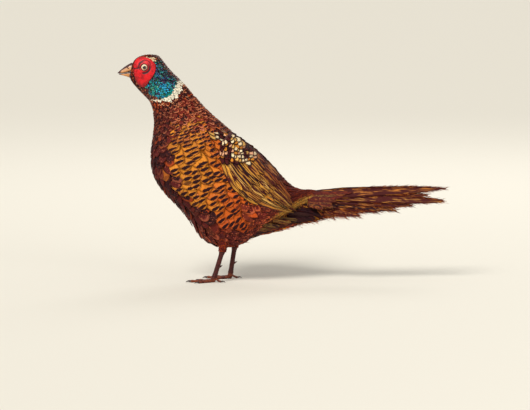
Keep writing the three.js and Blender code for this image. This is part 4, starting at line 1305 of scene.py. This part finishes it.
def make_thigh(leg):
    """Short dark feathers round the thigh, closing over the top of the shank."""
    side, name = leg["side"], leg["name"]
    hip = np.array([leg["ankle"][0] + 8, side * 33.0, 118])
    ankle = np.array([leg["ankle"][0], side * LEG_SPREAD, leg["ankle"][1]])
    ahead = unit(ankle - hip)
    across = unit(np.cross((0, 1, 0), ahead))
    up = np.cross(ahead, across)

    def girth(t):
        return mix(27, SHANK_RADIUS + 2.6, smooth(t) ** 0.8)

    def on_thigh(t, angle, lift):
        t, angle, lift = np.broadcast_arrays(t, angle, lift)
        radius = girth(t) + lift
        at = hip + (ankle - hip) * t[..., None]
        return at + across * (np.sin(angle) * radius)[..., None] + up * (np.cos(angle) * radius)[..., None]

    t = np.linspace(0, 1.0, 24)
    angle = np.linspace(0, 2 * np.pi, 36, endpoint=False)
    points, faces = loft(on_thigh(t[:, None], angle[None], -1.6 * np.ones((24, 36))))
    core = closed_piece(f"thigh_down_{name}", points, faces, DOWN)
    set_uv(core, "OFBake", coat_patch(points, side))
    places, angles = [], []
    for row in range(13):
        at = 0.04 + 0.072 * row
        number = int(2 * np.pi * girth(at) / 4.6)
        places.append(at + rng.normal(0, 0.012, number))
        angles.append((np.arange(number) + 0.5 * (row % 2) + rng.normal(0, 0.1, number)) / number * 2 * np.pi)
    place, angle = np.concatenate(places), np.concatenate(angles)
    n = len(place)
    length = rng.uniform(0.15, 0.21, n)
    half = 3.3 / girth(place)

    def point_at(s, edge, lift):
        here = np.minimum(place + length * (s - 0.3), 1.06)
        return on_thigh(here, angle + edge * half, mix(-1.8, 0.9, np.clip(s * 1.2, 0, 1)) + lift)

    tint = choose(n, (3, WINE["thigh"]), (2, MAROON), (1, RUST))
    paint = vane_paint(tint, DEEP, choose(n, (1, FLAME), (1, RUST)), 0, 0, rng.uniform(0, 0.5, n))
    bake = coat_patch(on_thigh(place, angle, 0), side)
    piece = feather_piece(f"thigh_feathers_{name}", point_at, paint, bake, PLUMAGE, 0.3, 0.5, ragged=0.08)
    wear("breast_plumage", core, piece)
    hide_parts(f"thigh_{name}")


for leg in LEGS:
    make_leg(leg)
    make_thigh(leg)


# Face, eyes and bill
def skin_material(name, colour, shade_colour, roughness=0.45):
    """Bare skin: a deeper red painted in as shade where the mesh marks creases and shaded edges, with fine
    pores.
    """
    material, nodes, links, shader = new_material(
        name, roughness, Subsurface_Weight=0.05, Subsurface_Scale=0.003, Subsurface_Radius=(1.0, 0.2, 0.15),
        Specular_IOR_Level=0.3)
    maths = Maths(nodes, links)
    folds_and_painted_shade = attribute(nodes, "Painted fold shade", "Fac")
    fine = noise(nodes, links, 750.0, 3.0)
    # Painted shade: the skin turns to the shade colour where the mesh marks creases, broken up by the pores
    dark = maths("ADD", folds_and_painted_shade, maths("MULTIPLY", maths("SUBTRACT", fine, 0.5), 0.5))
    pale = maths.between(noise(nodes, links, 110.0, 4.0), 0.36, 0.60)
    blush = maths.blend(pale, tuple(0.42 * c for c in colour), colour)
    links.new(maths.blend(maths.between(dark, 0.15, 0.65), blush, shade_colour), shader.inputs["Base Color"])
    bump(nodes, links, shader, fine, 0.35, 0.0006)
    return material


RED_FACE = skin_material("Red facial skin", RED_SKIN, FOLD_SHADE_RED)


def set_fold_shade(piece, values):
    layer = piece.data.attributes.new("Painted fold shade", "FLOAT", "POINT")
    layer.data.foreach_set("value", np.asarray(values, float))


def head_side(x, z):
    return side_of_body(x, z, 0, 8)


def face_shape(turn, share, side):
    """A point of the facial skin: turn is the direction round the eye, 0 towards the tail."""
    out = mix(EYE["radius"], facial_reach(turn), share)
    x, z = EYE["x"] + out * np.cos(turn), EYE["z"] + out * np.sin(turn)
    # Creases, which dent the skin and are painted darker as shade: a ring round the lids, one from the bill
    # to the eye, and soft wrinkles below
    ring = hump(out, 10.4 - 0.7 * np.sin(turn * 2), 1.25) * (0.62 + 0.38 * np.cos(turn * 2 + 0.9))
    lore = hump(np.sin(turn - 3.28) * out, 0, 1.3) * (np.cos(turn - 3.28) > 0) * smooth(out, 7.5, 9.5)
    brow = hump(out, 13.4 + 1.2 * np.sin(turn * 2), 1.0) * smooth(np.sin(turn), 0.1, 0.6) * 0.75
    bag = hump(out, 11.2, 1.9) * smooth(np.cos(turn + 0.95), 0.25, 0.85)
    wrinkle = 0.5 + 0.5 * np.sin(out * 1.9 + 2.2 * np.sin(turn * 3))
    # Painted shade: the outer part of the skin darkens towards the front and the bottom
    painted_border_shade = 0.55 * smooth(share, 0.60, 0.98) * smooth(-np.cos(turn - 0.8), -0.1, 0.7)
    folds_and_painted_shade = np.clip(np.maximum(np.maximum(ring, lore), np.maximum(brow, bag)) + painted_border_shade, 0, 1)
    lift = mix(2.3, 1.0, share**2) - 0.8 * folds_and_painted_shade + 0.22 * wrinkle * smooth(share, 0.4, 0.6)
    lift = np.where(share > 0.96, lift * (1 - smooth(share, 0.96, 1.0) * 0.9), lift)
    return on_bed(head_side, x, z, lift) * (1, side, 1), folds_and_painted_shade


def papillae_nodes(material):
    """Sets small round warts over a surface: a named tree with its own inputs and a fixed seed."""
    tree = bpy.data.node_groups.new("Skin papillae", "GeometryNodeTree")
    face = tree.interface
    face.new_socket("Surface", in_out="INPUT", socket_type="NodeSocketGeometry")
    settings = (("Density", "NodeSocketFloat", 900000.0), ("Spacing", "NodeSocketFloat", 0.0007),
                ("Size", "NodeSocketFloat", 0.00042), ("Seed", "NodeSocketInt", 5))
    for name, kind, value in settings:
        face.new_socket(name, in_out="INPUT", socket_type=kind).default_value = value
    face.new_socket("Papillae", in_out="OUTPUT", socket_type="NodeSocketGeometry")
    make, link = tree.nodes.new, tree.links.new
    given, result = make("NodeGroupInput"), make("NodeGroupOutput")
    points = make("GeometryNodeDistributePointsOnFaces")
    points.distribute_method = "POISSON"
    link(given.outputs["Surface"], points.inputs["Mesh"])
    link(given.outputs["Spacing"], points.inputs["Distance Min"])
    link(given.outputs["Density"], points.inputs["Density Max"])
    link(given.outputs["Seed"], points.inputs["Seed"])
    wart = make("GeometryNodeMeshIcoSphere")
    wart.inputs["Subdivisions"].default_value = 1
    link(given.outputs["Size"], wart.inputs["Radius"])
    spread = make("FunctionNodeRandomValue")
    spread.data_type = "FLOAT"
    sockets = {s.identifier: s for s in spread.inputs}
    sockets["Min_001"].default_value, sockets["Max_001"].default_value = 0.6, 1.3
    link(given.outputs["Seed"], sockets["Seed"])
    place = make("GeometryNodeInstanceOnPoints")
    link(points.outputs["Points"], place.inputs["Points"])
    link(wart.outputs["Mesh"], place.inputs["Instance"])
    link({s.identifier: s for s in spread.outputs}["Value_001"], place.inputs["Scale"])
    whole = make("GeometryNodeRealizeInstances")
    link(place.outputs["Instances"], whole.inputs[0])
    smooth_shade = make("GeometryNodeSetShadeSmooth")
    link(whole.outputs[0], smooth_shade.inputs[0])
    paint = make("GeometryNodeSetMaterial")
    paint.inputs["Material"].default_value = material
    link(smooth_shade.outputs[0], paint.inputs["Geometry"])
    link(paint.outputs["Geometry"], result.inputs["Papillae"])
    return tree


WART_SKIN = new_material("Papillae", 0.42, Base_Color=(0.70, 0.010, 0.012, 1))[0]
PAPILLAE = papillae_nodes(WART_SKIN)


def grown(name, base, tree, **settings):
    """The evaluated result of a tree on a surface, as a piece of its own."""
    modifier = base.modifiers.new("grow", "NODES")
    modifier.node_group = tree
    for socket in tree.interface.items_tree:
        if socket.in_out == "INPUT" and socket.name in settings:
            modifier[socket.identifier] = settings[socket.name]
    graph = bpy.context.evaluated_depsgraph_get()
    graph.update()
    mesh = bpy.data.meshes.new_from_object(base.evaluated_get(graph))
    base.modifiers.remove(modifier)
    mesh.name = name
    return new_piece(name, mesh)


def make_face(side_name, side):
    """A pad of red skin round the eye, and the papillae that stand on its outer part."""
    turns = np.linspace(0, 2 * np.pi, 120, endpoint=False)
    shares = np.concatenate([[0.0], np.linspace(0.0, 0.96, 50), [0.98, 1.0]])
    share, turn = np.meshgrid(shares, turns, indexing="ij")
    rings, folds_and_painted_shade = face_shape(turn, share, side)
    back = rings[::-1].copy()
    back[:, :, 1] -= side * 2.4
    pad = loft(np.concatenate([rings, back]), ends="joined")
    piece = closed_piece(f"facial_skin_{side_name}", *pad, RED_FACE)
    set_fold_shade(piece, np.concatenate([folds_and_painted_shade.ravel(), folds_and_painted_shade[::-1].ravel()]))

    outer_share, turn = np.meshgrid(np.linspace(0.45, 0.97, 16), turns, indexing="ij")
    rings, _ = face_shape(turn, outer_share, side)
    rings[:, :, 1] -= side * 0.1
    bed = plain_mesh("papillae_bed", *loft(rings, ends="open"))
    warts = grown(f"papillae_{side_name}", bed, PAPILLAE, Seed=5 + side)
    bpy.data.objects.remove(bed)
    wear("facial_skin", piece, warts)
    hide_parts(f"wattle_{side_name}")


EYE_GLASS = painted_material("Eye", "Iris", 0.12, Coat_Weight=1.0, Coat_Roughness=0.03)
LID_SKIN = new_material("Eyelid", 0.5, Base_Color=(0.10, 0.006, 0.010, 1))[0]


# The eye's colours: how far round from the middle of the pupil, in radians, and the colour there
EYE_BLACK, EYE_RIM = (0.004, 0.003, 0.003), (0.03, 0.006, 0.006)
EYE_BANDS = [(0.0, EYE_BLACK), (0.47, EYE_BLACK), (0.485, (0.25, 0.11, 0.03)), (0.53, (0.74, 0.56, 0.30)),
             (0.64, (0.90, 0.78, 0.56)), (0.95, (0.86, 0.70, 0.44)), (1.02, (0.30, 0.12, 0.05)),
             (1.08, EYE_RIM), (np.pi, EYE_RIM)]


def make_eyeball(side_name, side):
    """A full ball with its iris and pupil, and a cornea that stands a little proud."""
    places = [place for place, _ in EYE_BANDS]
    polar = np.unique(np.concatenate([np.linspace(0.02, np.pi - 0.02, 90), places[1:-1]]))
    p, a = np.meshgrid(polar, np.linspace(0, 2 * np.pi, 64, endpoint=False), indexing="ij")
    r = EYE["radius"] + 0.35 * (1 - smooth(p, 0.3, 0.75))
    rings = np.stack([r * np.sin(p) * np.cos(a), r * np.cos(p), r * np.sin(p) * np.sin(a)], -1)
    rings = (rings + (EYE["x"], EYE["middle"], EYE["z"])) * (1, side, 1)
    piece = closed_piece(f"eyeball_{side_name}", *loft(rings), EYE_GLASS)
    tones = np.stack([np.interp(p, places, [colour[i] for _, colour in EYE_BANDS]) for i in range(3)], -1)
    fibre = 1 + 0.10 * np.sin(a * 24 + 3 * np.sin(a * 7)) * smooth(p, 0.45, 0.6) * (1 - smooth(p, 0.8, 0.9))
    set_colour(piece, "Iris", with_caps((tones * fibre[..., None]).reshape(-1, 3)))
    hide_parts(f"eye_{side_name}")
    wear("eye", piece)


def make_lids(side_name, side):
    """One soft roll round the ball, thicker above and below."""
    turn = np.linspace(0, 2 * np.pi, 97)[:-1]
    reach = EYE["radius"] * 0.955
    across, up = reach * 1.04 * np.cos(turn), reach * 0.97 * np.sin(turn)
    depth = EYE["middle"] + np.sqrt(np.maximum(EYE["radius"] ** 2 - across**2 - up**2, 1.0)) + 0.35
    path = np.stack([EYE["x"] + across, depth, EYE["z"] + up], 1)
    outward = unit(np.stack([across, 0 * turn, up], 1))
    section = np.linspace(0, 2 * np.pi, 15)[:-1][None, :, None]
    thick = 0.75 + 0.2 * np.abs(np.sin(turn)) + 0.07 * np.sin(turn * 14)
    roll = outward[:, None] * np.cos(section) + np.array([0, 1, 0]) * np.sin(section)
    rings = (path[:, None] + roll * thick[:, None, None]) * (1, side, 1)
    wear("facial_skin", closed_piece(f"eyelids_{side_name}", *loft(rings, ends="joined"), LID_SKIN))


def bill_material():
    """Horn with a fine grain, in the colours that are kept in the mesh."""
    material, nodes, links, shader = new_material("Bill horn", 0.34, Coat_Weight=0.25, Coat_Roughness=0.2)
    grain = noise(nodes, links, 300.0, 4.0)
    maths = Maths(nodes, links)
    shaded(nodes, links, shader, attribute(nodes, "Ground"), maths("MULTIPLY_ADD", grain, 0.5, 0.74))
    bump(nodes, links, shader, grain, 0.3, 0.0004)
    return material


BILL_HORN = bill_material()
# The bill's base and tip, the heights of its ridge, mouth and underside at both, its nostril,
# and how its rings lean about a height
BILL = {"base": -166.9, "tip": -193.4, "ridge": (437, 416.8), "mouth": (419, 415.6), "under": (406.5, 413.2),
        "nostril": (-172.6, 7.05, 426.4), "lean": 5 / 32, "lean_z": 421}
# Pale horn, laid on as a painted highlight over the upper bill; the dark colour below serves for dark horn
# and for painted shade
BILL_PALE_AND_HIGHLIGHT = np.array([0.70, 0.38, 0.20])
BILL_TAN = np.array([0.56, 0.22, 0.045])
BILL_DARK_AND_SHADE = np.array([0.055, 0.010, 0.010])


def bill_top(t):
    return mix(*BILL["ridge"], t**1.25)


def bill_mouth(t):
    return mix(*BILL["mouth"], t) - 1.3 * np.sin(np.pi * t)


def bill_x(t, z, reach):
    """The bill's rings lean back with the forehead at its base, and stand upright at its end."""
    return mix(BILL["base"], reach, t) + (z - BILL["lean_z"]) * BILL["lean"] * (1 - t)


def bill_grid(rings):
    """Places along the bill, from 0 to 1, and the height and side of each point on its ring."""
    t = np.concatenate([[0.0], np.linspace(0.0, 1.0, rings)])
    t, angle = np.meshgrid(t, np.linspace(0, 2 * np.pi, 40, endpoint=False), indexing="ij")
    return t, np.cos(angle), np.sin(angle)


def bill_piece(name, points, tones, solid):
    piece = closed_piece(name, *loft(np.stack(points, -1)), BILL_HORN)
    set_colour(piece, "Ground", with_caps(tones.reshape(-1, 3)))
    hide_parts(solid)
    return piece


def make_upper_bill():
    """A ridged top, rolled cutting edges, and a swelling over the nostril."""
    t, up, out = bill_grid(70)
    top, mouth = bill_top(t), bill_mouth(t)
    z = (top + mouth) / 2 + (top - mouth) / 2 * np.where(up > 0, np.abs(up) ** 0.9, -np.abs(up) ** 0.7)
    y = mix(7.6, 0.9, t**1.1) * bulge(out) * (1 - 0.30 * np.maximum(up, 0) ** 1.5)
    y = y * (1 + 0.10 * hump(t, 0.22, 0.13) * hump(up, 0.30, 0.40))
    y = y * (1 - 0.06 * hump(up, -0.62, 0.16) * (1 - smooth(t, 0.55, 0.9)))
    shade = np.clip(smooth(up, 0.18, 0.42) + smooth(t, 0.66, 0.84), 0, 1)[..., None]
    # Painted shade along the lower edge, where the upper bill closes over the lower one
    edge = (1 - smooth(up, -0.76, -0.50))[..., None]
    # Paler towards the top: partly the horn's own colour and partly a painted highlight
    tones = mix(BILL_TAN, BILL_PALE_AND_HIGHLIGHT, smooth(up, -0.6, 0.2)[..., None])
    tones = mix(mix(tones, BILL_DARK_AND_SHADE, shade), BILL_DARK_AND_SHADE, edge)
    return bill_piece("upper_bill", (bill_x(t, z, BILL["tip"]), y, z), tones, "bill_upper")


def make_lower_bill():
    """The lower bill, nine tenths as long, with its edges inside the upper one's."""
    t, up, out = bill_grid(60)
    top, bottom = bill_mouth(0.9 * t) - 0.4, mix(*BILL["under"], t**0.8)
    z = (top + bottom) / 2 + (top - bottom) / 2 * np.where(up > 0, np.abs(up) ** 0.7, -np.abs(up) ** 0.9)
    y = mix(6.6, 1.0, t**1.2) * bulge(out) * (1 - 0.25 * np.maximum(-up, 0) ** 1.5)
    x = bill_x(t, z, mix(BILL["base"], BILL["tip"], 0.9))
    # A dark tip, with painted shade along the top, under the upper bill's edge, and at the base under the
    # chin
    shade = smooth(t, 0.66, 0.9) + smooth(up, 0.25, 0.6) + 0.8 * (1 - smooth(t, 0.02, 0.16))
    tones = mix(BILL_TAN * 1.05, BILL_DARK_AND_SHADE, np.clip(shade, 0, 1)[..., None])
    return bill_piece("lower_bill", (x, y, z), tones, "bill_lower")


def make_nostril(side_name, side):
    """A dark slit in the side of the upper bill, tilted down towards the tip."""
    p, a = np.meshgrid(np.linspace(0.05, np.pi - 0.05, 20), np.linspace(0, 2 * np.pi, 28, endpoint=False),
                       indexing="ij")
    along, out, up = 2.5 * np.cos(p), 0.5 * np.sin(p) * np.cos(a), 0.85 * np.sin(p) * np.sin(a)
    tilt = 0.5
    slit = np.stack([along * math.cos(tilt) + up * math.sin(tilt), out,
                     -along * math.sin(tilt) + up * math.cos(tilt)], -1)
    return closed_piece(f"nostril_{side_name}", *loft((slit + BILL["nostril"]) * (1, side, 1)), HORN)


for side_name, side in SIDES:
    make_face(side_name, side)
    make_eyeball(side_name, side)
    make_lids(side_name, side)
wear("bill", make_upper_bill(), make_lower_bill(), *(make_nostril(*each) for each in SIDES))


# Camera, light and floor
camera = new_piece("camera", bpy.data.cameras.new("camera"))
aim, distance, lift = Vector((-0.0343, 0, 0.152)), 6.0, math.radians(6)
camera.location = aim + Vector((0, -math.cos(lift), math.sin(lift))) * distance
camera.rotation_euler = (aim - camera.location).to_track_quat("-Z", "Y").to_euler()
camera.data.sensor_width = 36
camera.data.lens = 36 * distance / 1.06
bpy.context.scene.camera = camera


def soft_light(name, place, size, watts, colour=(1, 1, 1)):
    light = bpy.data.lights.new(name, "AREA")
    light.shape = "DISK"
    light.size = size
    light.energy = watts
    light.color = colour
    lamp = new_piece(name, light)
    lamp.location = place
    lamp.rotation_euler = (Vector((0, 0, 0.2)) - lamp.location).to_track_quat("-Z", "Y").to_euler()


soft_light("fill_light", (2.4, -2.8, 1.4), 2.2, 22)
soft_light("rim_light", (0.6, 2.4, 2.4), 1.6, 18)
sun = bpy.data.lights.new("key_light", "SUN")
sun.energy, sun.angle, sun.color = 2.6, 0.45, (1, 0.97, 0.93)
key = new_piece("key_light", sun)
key.rotation_euler = Vector((1.3, 2.1, -2.4)).to_track_quat("-Z", "Y").to_euler()

world = bpy.data.worlds.new("studio")
world.use_nodes = True
world.node_tree.nodes["Background"].inputs["Color"].default_value = (0.9, 0.88, 0.84, 1)
world.node_tree.nodes["Background"].inputs["Strength"].default_value = 0.5
bpy.context.scene.world = world
bpy.context.scene.view_settings.view_transform = "Standard"


def make_floor():
    mesh = bpy.data.meshes.new("floor")
    turns = np.linspace(0, 2 * np.pi, 96, endpoint=False)
    mesh.from_pydata([(40 * math.cos(a), 40 * math.sin(a), 0) for a in turns], [], [tuple(range(96))])
    mesh.materials.append(new_material("Pale paper floor", 0.9, Base_Color=(0.80, 0.77, 0.68, 1))[0])
    return new_piece("floor", mesh)


make_floor()
